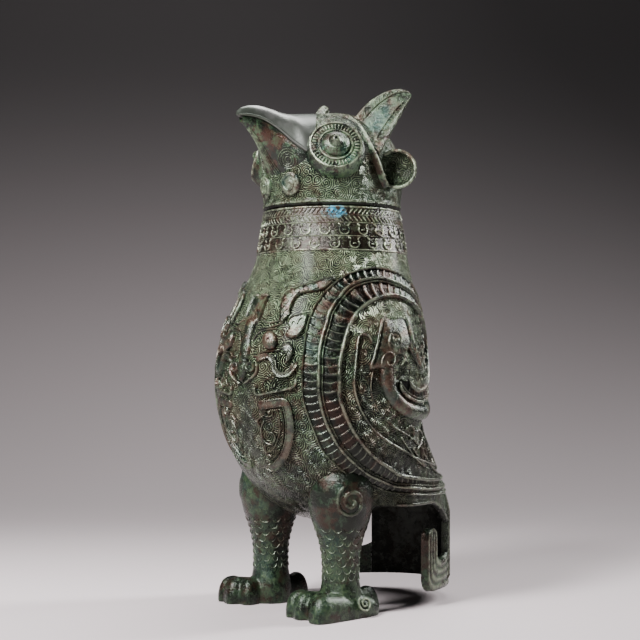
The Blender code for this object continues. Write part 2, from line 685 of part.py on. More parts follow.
def build_coil_head():
    """Small beast head in the middle of the wing coil, with two ears and a snout."""
    outline = []
    for i in range(24):
        a = 2.0 * math.pi * i / 24
        ears = 0.34 * math.exp(-((a - 1.13) / 0.26)**2) + 0.34 * math.exp(-((a - 2.01) / 0.26)**2)
        jaw = 1.0 - 0.24 * max(0.0, -math.sin(a))**2
        size = 1.0 + ears
        outline.append((HEAD_RELIEF_WIDTH * size * jaw * math.cos(a),
                        HEAD_RELIEF_LENGTH * size * math.sin(a)))
    floor = COIL_THICKNESS + RELIEF_GAP

    def lift(share):
        return floor + 1.2 + HEAD_RELIEF_DEPTH * math.sqrt(max(0.0, 1.0 - share * share))

    centre = (COIL_ANGLE - HEAD_RELIEF_TURN, COIL_HEIGHT + HEAD_RELIEF_RISE)
    return raised_patch("left_coil_head", centre, outline, lift, floor, (0.35, 0.65, 0.88, 1.0))


def head_outline(out):
    """Radius and height of the head's outside from the crown down to its rim, moved out by an amount."""
    radius = HEAD_RADIUS + out
    crown = CROWN_HEIGHT + out
    rise = crown - HEAD_CHEEK_HEIGHT
    points = [(0.0, crown)]
    for i in range(1, 9):
        t = i / 8.0
        points.append((curve(0.0, radius * CROWN_FULLNESS, radius, radius, t),
                       curve(crown, crown, HEAD_CHEEK_HEIGHT + rise * 0.58, HEAD_CHEEK_HEIGHT, t)))
    for i in range(1, 4):
        t = i / 3.0
        points.append((radius + (MOUTH_RADIUS + out - radius) * ease(t),
                       HEAD_CHEEK_HEIGHT + (LID_REST - HEAD_CHEEK_HEIGHT) * t))
    return points


def bill(name, stations, out, rise):
    """Bill lofted forward through its stations; rise is +1 for the upper half and -1 for the lower."""
    rings = []
    for forward, half, mouth, far in stations:
        ring = []
        for i in range(9):
            a = math.pi * i / 8.0
            x = (half + out) * math.cos(a)
            z = mouth + (far + rise * out - mouth) * math.sin(a)
            ring.append(Vector((x, -forward, z)))
        ring.append(Vector((-(half + out) * 0.9, -forward, mouth - rise * out)))
        ring.append(Vector(((half + out) * 0.9, -forward, mouth - rise * out)))
        rings.append(ring)
    return loft(name, rings)


def lower_bill(name, out):
    """Lower half of the beak, moved out by an amount."""
    stations = [list(s) for s in LOWER_BILL]
    stations[-1][0] += out
    mouths = [(f, h, m - 0.6, z) for f, h, m, z in stations]
    return bill(name, mouths, out + 0.6 if out else 0.6, -1.0)


def head_solid(name, out):
    """Filled head shape, moved out by an amount."""
    outline = head_outline(out) + [(0.0, LID_REST)]
    return turned(name, outline, HEAD_SIDES, (0.0, 0.0, 0.0), (0.0, 0.0, 1.0))


def eye_frame():
    """Centre and outward direction of the left eye."""
    radius = 0.0
    for (r0, z0), (r1, z1) in zip(head_outline(0.0), head_outline(0.0)[1:]):
        if z1 <= EYE_HEIGHT <= z0:
            radius = r0 + (r1 - r0) * (z0 - EYE_HEIGHT) / (z0 - z1)
    tilt = math.radians(EYE_TILT)
    out = at_angle(EYE_ANGLE, math.cos(tilt), math.sin(tilt))
    return at_angle(EYE_ANGLE, radius, EYE_HEIGHT) + out * EYE_STAND_OFF, out


def mirror_x(vector):
    """The same vector on the bird's right side."""
    return Vector((-vector[0], vector[1], vector[2]))


def horn_axes():
    """Base corner, along, up and face directions of the left horn blade."""
    inner, outer, tip = Vector(HORN_INNER), Vector(HORN_OUTER), Vector(HORN_TIP)
    along = (outer - inner).normalized()
    up = (tip - inner) - along * (tip - inner).dot(along)
    return inner, along, up.normalized(), along.cross(up).normalized()


def horn_stem():
    """Ends of the left horn's rivet stem, from inside the blade to inside the lid."""
    inner, along, up, _ = horn_axes()
    middle = inner + along * ((Vector(HORN_OUTER) - inner).length / 2.0)
    return middle + up * 15.0, middle - up * HORN_STEM_IN


def ear_stem():
    """Ends of the left ear's rivet stem."""
    outward = at_angle(EAR_STEM_ANGLE, 1.0, 0.0)
    centre = Vector(EAR_CENTRE)
    surface = at_angle(EAR_STEM_ANGLE, math.hypot(centre.x, centre.y), centre.z)
    return surface + outward * 2.2, surface - outward * EAR_STEM_LENGTH


def build_head():
    """Hollow head with its lower bill, rivet holes and the flange that enters the mouth."""
    outline = head_outline(0.0)
    hollow = [(max(0.0, r - HEAD_WALL), z) for r, z in head_outline(0.0)[1:]]
    inside = [(r, z - HEAD_WALL) for r, z in hollow[:6]] + hollow[6:-1]
    inside = [p for p in inside if p[0] > 1.0 and p[1] > LID_REST + FLANGE_RISE]
    bore = FLANGE_RADIUS - FLANGE_WALL
    tip = MOUTH_HEIGHT - FLANGE_DEPTH
    outline += [(FLANGE_RADIUS, LID_REST), (FLANGE_RADIUS, tip), (bore, tip), (bore, LID_REST + FLANGE_RISE)]
    outline += list(reversed(inside)) + [(0.0, CROWN_HEIGHT - HEAD_WALL)]
    head = turned("head_shell", outline, HEAD_SIDES, (0.0, 0.0, 0.0), (0.0, 0.0, 1.0))
    chin = lower_bill("chin", 0.0)
    cut(chin, head_solid("middle_of_wall", -HEAD_WALL / 2.0))
    join(head, chin)
    centre, out = eye_frame()
    stems = [(centre + out * 3.0, centre - out * (EYE_STEM_LENGTH + 4.0), EYE_STEM_RADIUS),
             (horn_stem()[0], horn_stem()[1] + (horn_stem()[1] - horn_stem()[0]).normalized(),
              HORN_STEM_RADIUS),
             (ear_stem()[0], ear_stem()[1] + (ear_stem()[1] - ear_stem()[0]).normalized(), EAR_STEM_RADIUS)]
    for start, end, radius in stems:
        cut(head, rod("hole", start, end, radius + STEM_GAP))
        cut(head, rod("hole", mirror_x(start), mirror_x(end), radius + STEM_GAP))
    cut(head, rod("hole", (0.0, -DOWEL_FORWARD, DOWEL_TOP), (0.0, -DOWEL_FORWARD, DOWEL_END - STEM_GAP),
                  DOWEL_RADIUS + STEM_GAP))
    return head


def build_upper_beak():
    """Smooth upper bill and brow ridge, seated on the head with a dowel into the lower bill."""
    beak = bill("upper_beak", UPPER_BILL, 0.0, 1.0)
    cut(beak, lower_bill("seat", SEAT_GAP))
    cut(beak, head_solid("seat", SEAT_GAP))
    centre, out = eye_frame()
    reach = EYE_RADIUS + SEAT_GAP
    for flip in (Vector, mirror_x):
        cut(beak, rod("eye_room", flip(centre - out * 20.0), flip(centre + out * 20.0), reach, 24))
    join(beak, rod("dowel", (0.0, -DOWEL_FORWARD, DOWEL_TOP), (0.0, -DOWEL_FORWARD, DOWEL_END), DOWEL_RADIUS))
    return beak


def build_eye_disc():
    """Round eye plate with a raised rim, pierced for the boss stem."""
    centre, out = eye_frame()
    bore = EYE_STEM_RADIUS + STEM_GAP
    outline = ((bore, -EYE_SINK), (EYE_RADIUS, -EYE_SINK), (EYE_RADIUS, EYE_RIM - 0.8),
               (EYE_RADIUS - 0.8, EYE_RIM), (BOSS_RADIUS + 1.5, EYE_RIM + 1.0), (BOSS_RADIUS + 1.0, EYE_RIM),
               (bore, EYE_RIM))
    disc = turned("left_eye_disc", outline, 24, centre, out)
    cut(disc, head_solid("seat", SEAT_GAP))
    return disc


def build_eye_boss():
    """Conical pupil with a nipple and a rivet stem through the eye plate and the lid."""
    centre, out = eye_frame()
    base = EYE_RIM + SEAT_GAP
    top = base + BOSS_HEIGHT
    outline = ((0.0, -EYE_STEM_LENGTH), (EYE_STEM_RADIUS, -EYE_STEM_LENGTH), (EYE_STEM_RADIUS, base),
               (BOSS_RADIUS, base), (BOSS_RADIUS * 0.82, base + BOSS_HEIGHT * 0.55),
               (BOSS_RADIUS * 0.5, base + BOSS_HEIGHT * 0.9), (NIPPLE_RADIUS, top),
               (NIPPLE_RADIUS * 0.8, top + NIPPLE_HEIGHT), (0.0, top + NIPPLE_HEIGHT))
    return turned("left_eye_boss", outline, 16, centre, out)


def build_horn():
    """Pointed crest blade seated on the crown, with a rivet stem through the lid."""
    inner, along, up, face = horn_axes()
    wide = (Vector(HORN_OUTER) - inner).length
    tip = Vector(HORN_TIP) - inner
    tip_along, tip_up = tip.dot(along), tip.dot(up)
    outline = [(wide, -HORN_ROOT), (0.0, -HORN_ROOT)]
    for i in range(9):
        t = i / 8.0
        outline.append((curve(0.0, -HORN_BULGE, -HORN_BULGE * 0.6, tip_along, t),
                        curve(0.0, tip_up * 0.45, tip_up * 0.98, tip_up, t)))
    outline.append((tip_along + 2.0, tip_up - 1.5))
    outline.append((wide * 0.62, tip_up * 0.42))
    half = HORN_THICKNESS / 2.0
    rings = [[inner + along * s + up * t + face * side for s, t in outline] for side in (-half, half)]
    horn = loft("left_horn", rings)
    cut(horn, head_solid("seat", SEAT_GAP))
    start, end = horn_stem()
    join(horn, rod("stem", start, end, HORN_STEM_RADIUS))
    return horn


def build_ear():
    """Cupped round ear on the side of the head, with a rivet stem through the lid."""
    steps = 5
    outer, inner = [], []
    for i in range(steps + 1):
        a = math.pi / 2.0 * i / steps
        outer.append((EAR_RADIUS * math.sin(a), -EAR_DEPTH * math.cos(a)))
        inner.append(((EAR_RADIUS - EAR_WALL) * math.sin(a), -(EAR_DEPTH - EAR_WALL) * math.cos(a)))
    outer[0] = (0.0, -EAR_DEPTH)
    inner[0] = (0.0, -(EAR_DEPTH - EAR_WALL))
    ear = turned("left_ear", outer + list(reversed(inner)), 18, EAR_CENTRE, EAR_AXIS)
    cut(ear, head_solid("seat", SEAT_GAP))
    start, end = ear_stem()
    join(ear, rod("stem", start, end, EAR_STEM_RADIUS))
    return ear


def finish(thing, colour, roughness, metallic, parent):
    """Give a piece its own finish, smooth its round faces and hang it on its parent."""
    surface = bpy.data.materials.new(thing.name + "_finish")
    surface.use_nodes = True
    shader = surface.node_tree.nodes["Principled BSDF"]
    shader.inputs["Base Color"].default_value = (*colour, 1.0)
    shader.inputs["Roughness"].default_value = roughness
    shader.inputs["Metallic"].default_value = metallic
    thing.data.materials.clear()
    thing.data.materials.append(surface)
    thing.data.shade_smooth()
    thing.data.set_sharp_from_angle(angle=SMOOTH_ANGLE)
    thing.parent = parent


def empty(name, place, parent=None):
    """Empty that carries pieces."""
    thing = bpy.data.objects.new(name, None)
    thing.location = Vector(place) * MM
    thing.parent = parent
    bpy.context.scene.collection.objects.link(thing)
    return thing


def shift(thing, offset):
    """Move a piece's mesh so that its origin sits on its parent."""
    for vertex in thing.data.vertices:
        vertex.co += Vector(offset) * MM


for old in list(bpy.data.objects):
    bpy.data.objects.remove(old)

DARK = (0.045, 0.055, 0.045)
GREEN = (0.06, 0.10, 0.075)
WORN = (0.20, 0.22, 0.20)
CLAY = (0.28, 0.17, 0.11)

body_empty = empty("vessel", (0.0, NECK_AXIS_Y, 0.0))
lid_empty = empty("lid", (0.0, NECK_AXIS_Y, LID_REST))

finish(build_body(), DARK, 0.5, 0.75, body_empty)
finish(build_tail(), DARK, 0.5, 0.75, body_empty)
finish(build_leg("left_leg", LEFT_TOES), GREEN, 0.6, 0.6, body_empty)
other_leg = build_leg("other_leg", RIGHT_TOES)
finish(mirrored(other_leg, "right_leg"), GREEN, 0.6, 0.6, body_empty)
bpy.data.objects.remove(other_leg)
for build, colour, roughness, metallic in ((build_core, CLAY, 0.9, 0.0), (build_hook, DARK, 0.5, 0.75),
                                           (build_band, WORN, 0.4, 0.85), (build_coil, DARK, 0.5, 0.75),
                                           (build_coil_head, GREEN, 0.5, 0.7)):
    left = build()
    right = mirrored(left, left.name.replace("left", "right"))
    finish(left, colour, roughness, metallic, body_empty)
    finish(right, colour, roughness, metallic, body_empty)

lid_pieces = [(build_head(), DARK, 0.5, 0.75), (build_upper_beak(), WORN, 0.35, 0.85)]
for build, colour, roughness, metallic in ((build_eye_disc, WORN, 0.45, 0.8),
                                           (build_eye_boss, GREEN, 0.5, 0.7),
                                           (build_horn, GREEN, 0.5, 0.75), (build_ear, DARK, 0.5, 0.75)):
    left = build()
    right = mirrored(left, left.name.replace("left", "right"))
    lid_pieces.append((left, colour, roughness, metallic))
    lid_pieces.append((right, colour, roughness, metallic))
for piece, colour, roughness, metallic in lid_pieces:
    shift(piece, (0.0, 0.0, -LID_REST))
    finish(piece, colour, roughness, metallic, lid_empty)
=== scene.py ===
import math

import bmesh
import bpy
import numpy as np
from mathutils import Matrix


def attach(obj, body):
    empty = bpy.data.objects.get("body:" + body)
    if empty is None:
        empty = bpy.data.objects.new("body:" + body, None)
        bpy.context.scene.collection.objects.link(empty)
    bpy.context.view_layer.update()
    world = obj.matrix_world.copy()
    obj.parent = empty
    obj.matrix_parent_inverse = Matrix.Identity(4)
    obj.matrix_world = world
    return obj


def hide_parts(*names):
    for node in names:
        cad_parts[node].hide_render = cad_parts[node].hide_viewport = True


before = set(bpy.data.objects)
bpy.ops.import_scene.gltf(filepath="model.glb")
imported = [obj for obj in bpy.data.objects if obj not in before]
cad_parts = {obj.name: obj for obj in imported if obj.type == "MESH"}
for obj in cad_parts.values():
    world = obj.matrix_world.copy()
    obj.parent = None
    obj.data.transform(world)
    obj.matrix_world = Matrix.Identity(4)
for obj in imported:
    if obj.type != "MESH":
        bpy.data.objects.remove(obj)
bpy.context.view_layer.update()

# Everything below is in millimetres from the neck axis: front is -Y, the bird's left is +X
MM = 0.001
AXIS_Y = -8.8
SUNK = 0.35

# Body
MOUTH_HEIGHT, MOUTH_RADIUS = 308.0, 53.3
NECK_FOOT_HEIGHT, NECK_FOOT_RADIUS = 275.0, 58.6
SHOULDER_DROP, SHOULDER_FLARE = 26.0, 5.0
BREAST_HEIGHT, BREAST_FULLNESS = 176.0, 46.0
BODY_REACHES = (92.4, 86.0, 60.0)
BELLY_FULLNESS, BELLY_ROUNDNESS, BELLY_HEIGHT = 58.0, 0.6, 66.0
BODY_WALL = 4.0

# Tail
TAIL_TOP, TAIL_TURN, SKIRT_HEIGHT, WALL_FOOT = 150.0, 70.0, 80.0, 12.0
TAIL_TOP_REACH, TAIL_REACH = 58.0, 110.0
TAIL_TOP_FLANK, SKIRT_FLANK = 76.0, 68.0
SKIRT_FRONT, SKIRT_FULL = math.radians(88.0), math.radians(114.0)
ARCH_TURN, WALL_TURN, ARCH_DROP = math.radians(130.0), math.radians(151.6), 18.0
TAIL_TUCK, TAIL_THICKNESS = 2.0, 5.0
FILLET = 1.6

# Tail hooks, with turns in degrees
HOOK_FRONT, HOOK_INSIDE, HOOK_BACK = 125.3, 136.5, 151.4
HOOK_SOLE, HOOK_RISE, HOOK_CORNER = 22.4, 49.0, 11.0

# Legs
LEG_X, LEG_Y = 43.5, -27.5
LEG_FOOT = np.array([LEG_X, LEG_Y, 0.0])
LEG_OUTLINE = ((0.0, 16.5), (13.0, 16.5), (19.0, 15.4), (26.0, 14.2), (37.0, 13.9), (48.0, 14.6),
               (60.0, 17.4), (72.0, 21.8), (84.0, 24.5), (96.0, 24.6), (104.0, 23.0), (110.0, 19.0))
THIGH_TURN, THIGH_RADIUS, THIGH_HEIGHT = math.radians(70.0), 24.4, 88.0
LEFT_TOES = ((-38.0, 41.0), (-19.0, 37.0), (5.0, 31.0), (184.0, 37.0))
RIGHT_TOES = ((38.0, 42.0), (18.0, 38.0), (-2.0, 30.0), (176.0, 37.0))
TOE_HALF, TOE_HEIGHT = 7.2, 20.0
ROLL_OUT, ROLL_FRONT, ROLL_BACK, ROLL_HALF, ROLL_HEIGHT = 10.5, -36.0, 27.0, 8.6, 19.5
CURL_BACK, CURL_HEIGHT = 8.0, 11.0

# Leg scales: first height, end and step of their rows, and how many go round
SCALE_HEIGHTS, SCALES_ROUND = (30.0, 70.0, 5.2), 13

# Toe as shares of its length, half width and height; outer roll of the foot as shares of its length and size
TOE_STATIONS = ((0.05, 0.95, 1.0), (0.35, 0.92, 0.95), (0.55, 0.95, 0.94), (0.7, 1.05, 1.02),
                (0.82, 1.06, 0.98), (0.91, 0.96, 0.86), (0.97, 0.74, 0.62), (1.0, 0.42, 0.34))
ROLL_STATIONS = ((0.0, 0.45), (0.03, 0.76), (0.08, 0.96), (0.16, 1.06), (0.3, 1.0), (0.5, 0.9), (0.78, 0.85),
                 (0.93, 0.65), (1.0, 0.35))

# Head
LID_REST, CHEEK_HEIGHT, HEAD_RADIUS, CROWN_HEIGHT = 308.3, 333.0, 55.8, 385.5
CROWN_FULLNESS, HEAD_WALL = 0.62, 3.5
FLANGE_OUT, FLANGE_IN, FLANGE_FOOT, FLANGE_TOP = 48.9, 45.9, 294.0, 315.3
UPPER_BILL = ((8.0, 16.0, 360.0, 384.8), (25.0, 27.0, 352.0, 382.8), (40.0, 31.0, 346.5, 380.8),
              (48.0, 30.0, 348.2, 380.0), (55.0, 22.0, 355.6, 380.6), (63.0, 14.5, 365.0, 382.4),
              (72.0, 9.0, 371.5, 383.6), (81.0, 5.6, 374.0, 382.8), (88.0, 3.2, 374.4, 380.4),
              (91.6, 1.4, 374.8, 377.6))
LOWER_BILL = ((36.0, 30.0, 346.0, 318.0), (48.0, 27.5, 347.4, 326.0), (55.0, 20.5, 354.6, 332.0),
              (63.0, 13.5, 364.0, 342.0), (72.0, 8.2, 370.6, 355.5), (80.0, 5.0, 373.1, 364.0),
              (88.0, 2.2, 373.6, 369.6))
EYE_TURN, EYE_TILT, EYE_HEIGHT, EYE_STAND_OFF = math.radians(53.5), math.radians(24.0), 351.5, 1.4
EYE_RADIUS, EYE_RIM, BOSS_RADIUS, BOSS_HEIGHT = 19.5, 2.4, 10.5, 6.5
HORN_INNER, HORN_OUTER, HORN_TIP = (28.0, 2.0, 380.0), (57.0, 7.0, 352.0), (53.3, 35.5, 397.5)
HORN_ROOT, HORN_BULGE, HORN_HALF = 7.0, 9.0, 2.5
EAR_CENTRE, EAR_AXIS = (51.8, 21.5, 337.6), (0.76, -0.64, 0.10)
EAR_RADIUS, EAR_DEPTH, EAR_WALL, EAR_STAND_OFF = 15.5, 9.0, 2.6, 5.5

# The photograph's camera, in its 640-pixel frame
VIEW_TURN = math.radians(50.5)
VIEW_DISTANCE, VIEW_HEIGHT = 1063.0, 190.6
FOCAL, CENTRE_X, HORIZON, FRAME = 1350.0, 332.0, 362.0, 640.0
SENSOR = 36.0


def curve(a, b, c, d, t):
    """Value on a cubic curve that leaves a toward b and reaches d from c."""
    s = 1.0 - t
    return a * s**3 + 3.0 * b * s * s * t + 3.0 * c * s * t * t + d * t**3


def ease(t):
    """Smooth step from 0 to 1, flat outside."""
    t = np.clip(t, 0.0, 1.0)
    return t * t * (3.0 - 2.0 * t)


def unit(vectors):
    """Vectors brought to length one."""
    return vectors / np.maximum(np.linalg.norm(vectors, axis=-1, keepdims=True), 1e-9)


def at_turn(turn, radius, height):
    """Points at an angle from the front, turning toward the bird's left."""
    turn, radius, height = np.broadcast_arrays(turn, radius, height)
    return np.stack([radius * np.sin(turn), -radius * np.cos(turn), height], -1)


def full_turn(sides, start=0.0):
    """Angles evenly spaced round a full turn."""
    return np.linspace(start, start + 2.0 * math.pi, sides + 1)[:-1]


def smooth_knots(knots, steps, closed=False):
    """Smooth line through knots of any dimension."""
    knots = np.asarray(knots, float)
    if closed:
        ends = np.vstack([knots[-1:], knots, knots[:2]])
    else:
        ends = np.vstack([2 * knots[:1] - knots[1:2], knots, 2 * knots[-1:] - knots[-2:-1]])
    t = (np.arange(steps) / steps)[:, None]
    spans = []
    for i in range(1, len(ends) - 2):
        p, q, r, s = ends[i - 1:i + 3]
        spans.append(0.5 * (2 * q + (r - p) * t + (2 * p - 5 * q + 4 * r - s) * t * t
                            + (3 * q - p - 3 * r + s) * t**3))
    if not closed:
        spans.append(knots[-1:])
    return np.vstack(spans)


def even_steps(path, step, closed=False):
    """The same line with points a step apart."""
    if closed:
        path = np.vstack([path, path[:1]])
    run = np.concatenate([[0.0], np.cumsum(np.linalg.norm(np.diff(path, axis=0), axis=1))])
    count = max(3, int(round(run[-1] / step)) + 1)
    marks = np.linspace(0.0, run[-1], count)
    if closed:
        marks = marks[:-1]
    return np.stack([np.interp(marks, run, path[:, k]) for k in range(path.shape[1])], 1)


# Skins of the cast shapes

def body_levels(out, rows):
    """Heights and front, flank and back reaches of the body, from the belly up to the mouth."""
    t = np.linspace(1.0, 0.0, rows)
    low = BELLY_HEIGHT - out
    height = [curve(BREAST_HEIGHT, BREAST_HEIGHT - BELLY_FULLNESS, low, low, t),
              curve(NECK_FOOT_HEIGHT, NECK_FOOT_HEIGHT - SHOULDER_DROP, BREAST_HEIGHT + BREAST_FULLNESS,
                    BREAST_HEIGHT, t)[1:],
              np.linspace(NECK_FOOT_HEIGHT, MOUTH_HEIGHT, 14)[1:]]
    reaches = []
    for reach in BODY_REACHES:
        full, neck = reach + out, NECK_FOOT_RADIUS + out
        reaches.append(np.concatenate([
            curve(full, full, full * BELLY_ROUNDNESS, 0.0, t),
            curve(neck, neck + SHOULDER_FLARE, full, full, t)[1:],
            np.linspace(neck, MOUTH_RADIUS + out, 14)[1:]]))
    return np.concatenate(height), reaches


BODY_HEIGHTS, BODY_OUTLINES = body_levels(0.0, 160)
TAIL_STEPS = np.linspace(1.0, 0.0, 80)
TAIL_HEIGHTS = curve(TAIL_TOP, TAIL_TOP - 24.0, TAIL_TURN + 22.0, TAIL_TURN, TAIL_STEPS)
TAIL_OUTLINE = curve(TAIL_TOP_REACH, TAIL_TOP_REACH + 16.0, TAIL_REACH - 6.0, TAIL_REACH, TAIL_STEPS)


def oval(turn, front, flank, back):
    """Distance from the axis to an oval in the direction of a turn."""
    reach = np.where(np.cos(turn) > 0.0, front, back)
    return 1.0 / np.hypot(np.sin(turn) / np.maximum(flank, 1e-6), np.cos(turn) / np.maximum(reach, 1e-6))


def body_radius(turn, height):
    """Distance from the neck axis to the body's outside."""
    return oval(turn, *(np.interp(height, BODY_HEIGHTS, outline) for outline in BODY_OUTLINES))


def tail_radius(turn, height):
    """Distance from the neck axis to the tail's outside, which fades into the flanks."""
    back = np.interp(height, TAIL_HEIGHTS, TAIL_OUTLINE) - np.maximum(0.0, height - TAIL_TOP) * 0.6
    share = np.clip((TAIL_TOP - height) / (TAIL_TOP - SKIRT_HEIGHT), 0.0, 1.0)
    flank = TAIL_TOP_FLANK + (SKIRT_FLANK - TAIL_TOP_FLANK) * share
    radius = oval(turn, back, flank, back)
    tucked = body_radius(turn, height) - TAIL_TUCK
    spread = (np.abs(np.arctan2(np.sin(turn), np.cos(turn))) - SKIRT_FRONT) / (SKIRT_FULL - SKIRT_FRONT)
    return tucked + (radius - tucked) * ease(spread)


def hull_radius(turn, height):
    """Distance from the neck axis to the outside of body and tail, with a cast fillet between them."""
    body, tail = body_radius(turn, height), tail_radius(turn, height)
    return np.maximum(body, FILLET * np.logaddexp(body / FILLET, tail / FILLET) - 0.45)


def on_hull(turn, height, out=0.0):
    """Points on the outside of body and tail, or a little way out from it."""
    return at_turn(turn, hull_radius(turn, height) + out, height)


def head_outline(out, rows):
    """Radius and height of the head from the crown down to its rim."""
    t = np.linspace(0.0, 1.0, rows)
    radius, crown = HEAD_RADIUS + out, CROWN_HEIGHT + out
    rise = crown - CHEEK_HEIGHT
    r = curve(0.0, radius * CROWN_FULLNESS, radius, radius, t)
    z = curve(crown, crown, CHEEK_HEIGHT + rise * 0.58, CHEEK_HEIGHT, t)
    low = np.linspace(0.0, 1.0, rows // 2)[1:]
    r = np.concatenate([r, radius + (MOUTH_RADIUS + out - radius) * ease(low)])
    z = np.concatenate([z, CHEEK_HEIGHT + (LID_REST - CHEEK_HEIGHT) * low])
    return r, z


HEAD_R, HEAD_Z = head_outline(0.0, 120)
HEAD_MIDDLE = 325.0
HEAD_SLOPE = np.arctan2(HEAD_Z - HEAD_MIDDLE, HEAD_R)


def head_radius(turn, height):
    """Distance from the neck axis to the head at a height."""
    return np.interp(height, HEAD_Z[::-1], HEAD_R[::-1]) + 0.0 * turn


def leg_radius(turn, height):
    """Distance from the leg's axis to its side."""
    heights, radii = zip(*LEG_OUTLINE)
    return np.interp(height, heights, radii) + 0.0 * turn


def upright_skin(radius_at, x=0.0, y=0.0):
    """Landing on a skin round an upright axis: gives the skin's points and outward directions."""
    def place(turn, height):
        return at_turn(turn, radius_at(turn, height), height) + (x, y, 0.0)

    def land(points):
        turn = np.arctan2(points[..., 0] - x, y - points[..., 1])
        height = points[..., 2]
        normal = np.cross(place(turn + 0.006, height) - place(turn - 0.006, height),
                          place(turn, height + 0.4) - place(turn, height - 0.4))
        return place(turn, height), unit(normal)
    return land


def head_land(points):
    """Landing on the head, toward a point inside it, so that the crown is reached too."""
    def place(turn, slope):
        r = np.interp(slope, HEAD_SLOPE[::-1], HEAD_R[::-1])
        z = np.interp(slope, HEAD_SLOPE[::-1], HEAD_Z[::-1])
        return at_turn(turn, r, z)

    turn = np.arctan2(points[..., 0], -points[..., 1])
    slope = np.arctan2(points[..., 2] - HEAD_MIDDLE, np.hypot(points[..., 0], points[..., 1]))
    slope = np.clip(slope, HEAD_SLOPE[-1] + 0.01, HEAD_SLOPE[0] - 0.01)
    normal = np.cross(place(turn + 0.006, slope) - place(turn - 0.006, slope),
                      place(turn, slope + 0.01) - place(turn, slope - 0.01))
    return place(turn, slope), unit(normal)


def flat_skin(origin, normal):
    """Landing on a plane."""
    origin, normal = np.asarray(origin, float), unit(np.asarray(normal, float))

    def land(points):
        away = (points - origin) @ normal
        return points - away[..., None] * normal, np.broadcast_to(normal, points.shape)
    return land


body_land = upright_skin(hull_radius)
leg_land = upright_skin(leg_radius, LEG_X, LEG_Y)

SIGHT_EYE = at_turn(VIEW_TURN, VIEW_DISTANCE, VIEW_HEIGHT)
SIGHT_AHEAD = np.array([-math.sin(VIEW_TURN), math.cos(VIEW_TURN), 0.0])
SIGHT_RIGHT = np.array([math.cos(VIEW_TURN), math.sin(VIEW_TURN), 0.0])
SIGHT_UP = np.array([0.0, 0.0, 1.0])


def seen(places, radius_at):
    """Points where sight lines through places in the photograph's frame meet a skin round the neck axis."""
    places = np.asarray(places, float)
    rays = (SIGHT_AHEAD + SIGHT_RIGHT * ((places[:, :1] - CENTRE_X) / FOCAL)
            + SIGHT_UP * ((HORIZON - places[:, 1:2]) / FOCAL))
    reach = np.linspace(VIEW_DISTANCE - 130.0, VIEW_DISTANCE + 50.0, 361)
    points = SIGHT_EYE + rays[:, None, :] * reach[None, :, None]
    gap = (np.hypot(points[..., 0], points[..., 1])
           - radius_at(np.arctan2(points[..., 0], -points[..., 1]), points[..., 2]))
    inside = gap < 0.0
    hit = np.where(inside.any(1), inside.argmax(1), gap.argmin(1))
    rows = np.arange(len(places))
    before = np.maximum(hit - 1, 0)
    a, b = gap[rows, before], gap[rows, hit]
    share = np.where(b < 0.0, a / np.maximum(a - b, 1e-9), 1.0)[:, None]
    return points[rows, before] * (1.0 - share) + points[rows, hit] * share


def traced(places, radius_at=hull_radius, step=1.0, closed=False):
    """Line on a skin that follows places in the photograph's frame."""
    return even_steps(seen(smooth_knots(places, 8, closed), radius_at), step, closed)


def turned_path(places, step=1.0):
    """Line on the hull through (turn in degrees, height) knots."""
    knots = smooth_knots(places, 8)
    return even_steps(on_hull(np.radians(knots[:, 0]), knots[:, 1]), step)


def turn_and_height(points):
    """(turn in degrees, height) of points."""
    return np.stack([np.degrees(np.arctan2(points[:, 0], -points[:, 1])), points[:, 2]], 1)


# Casting pieces

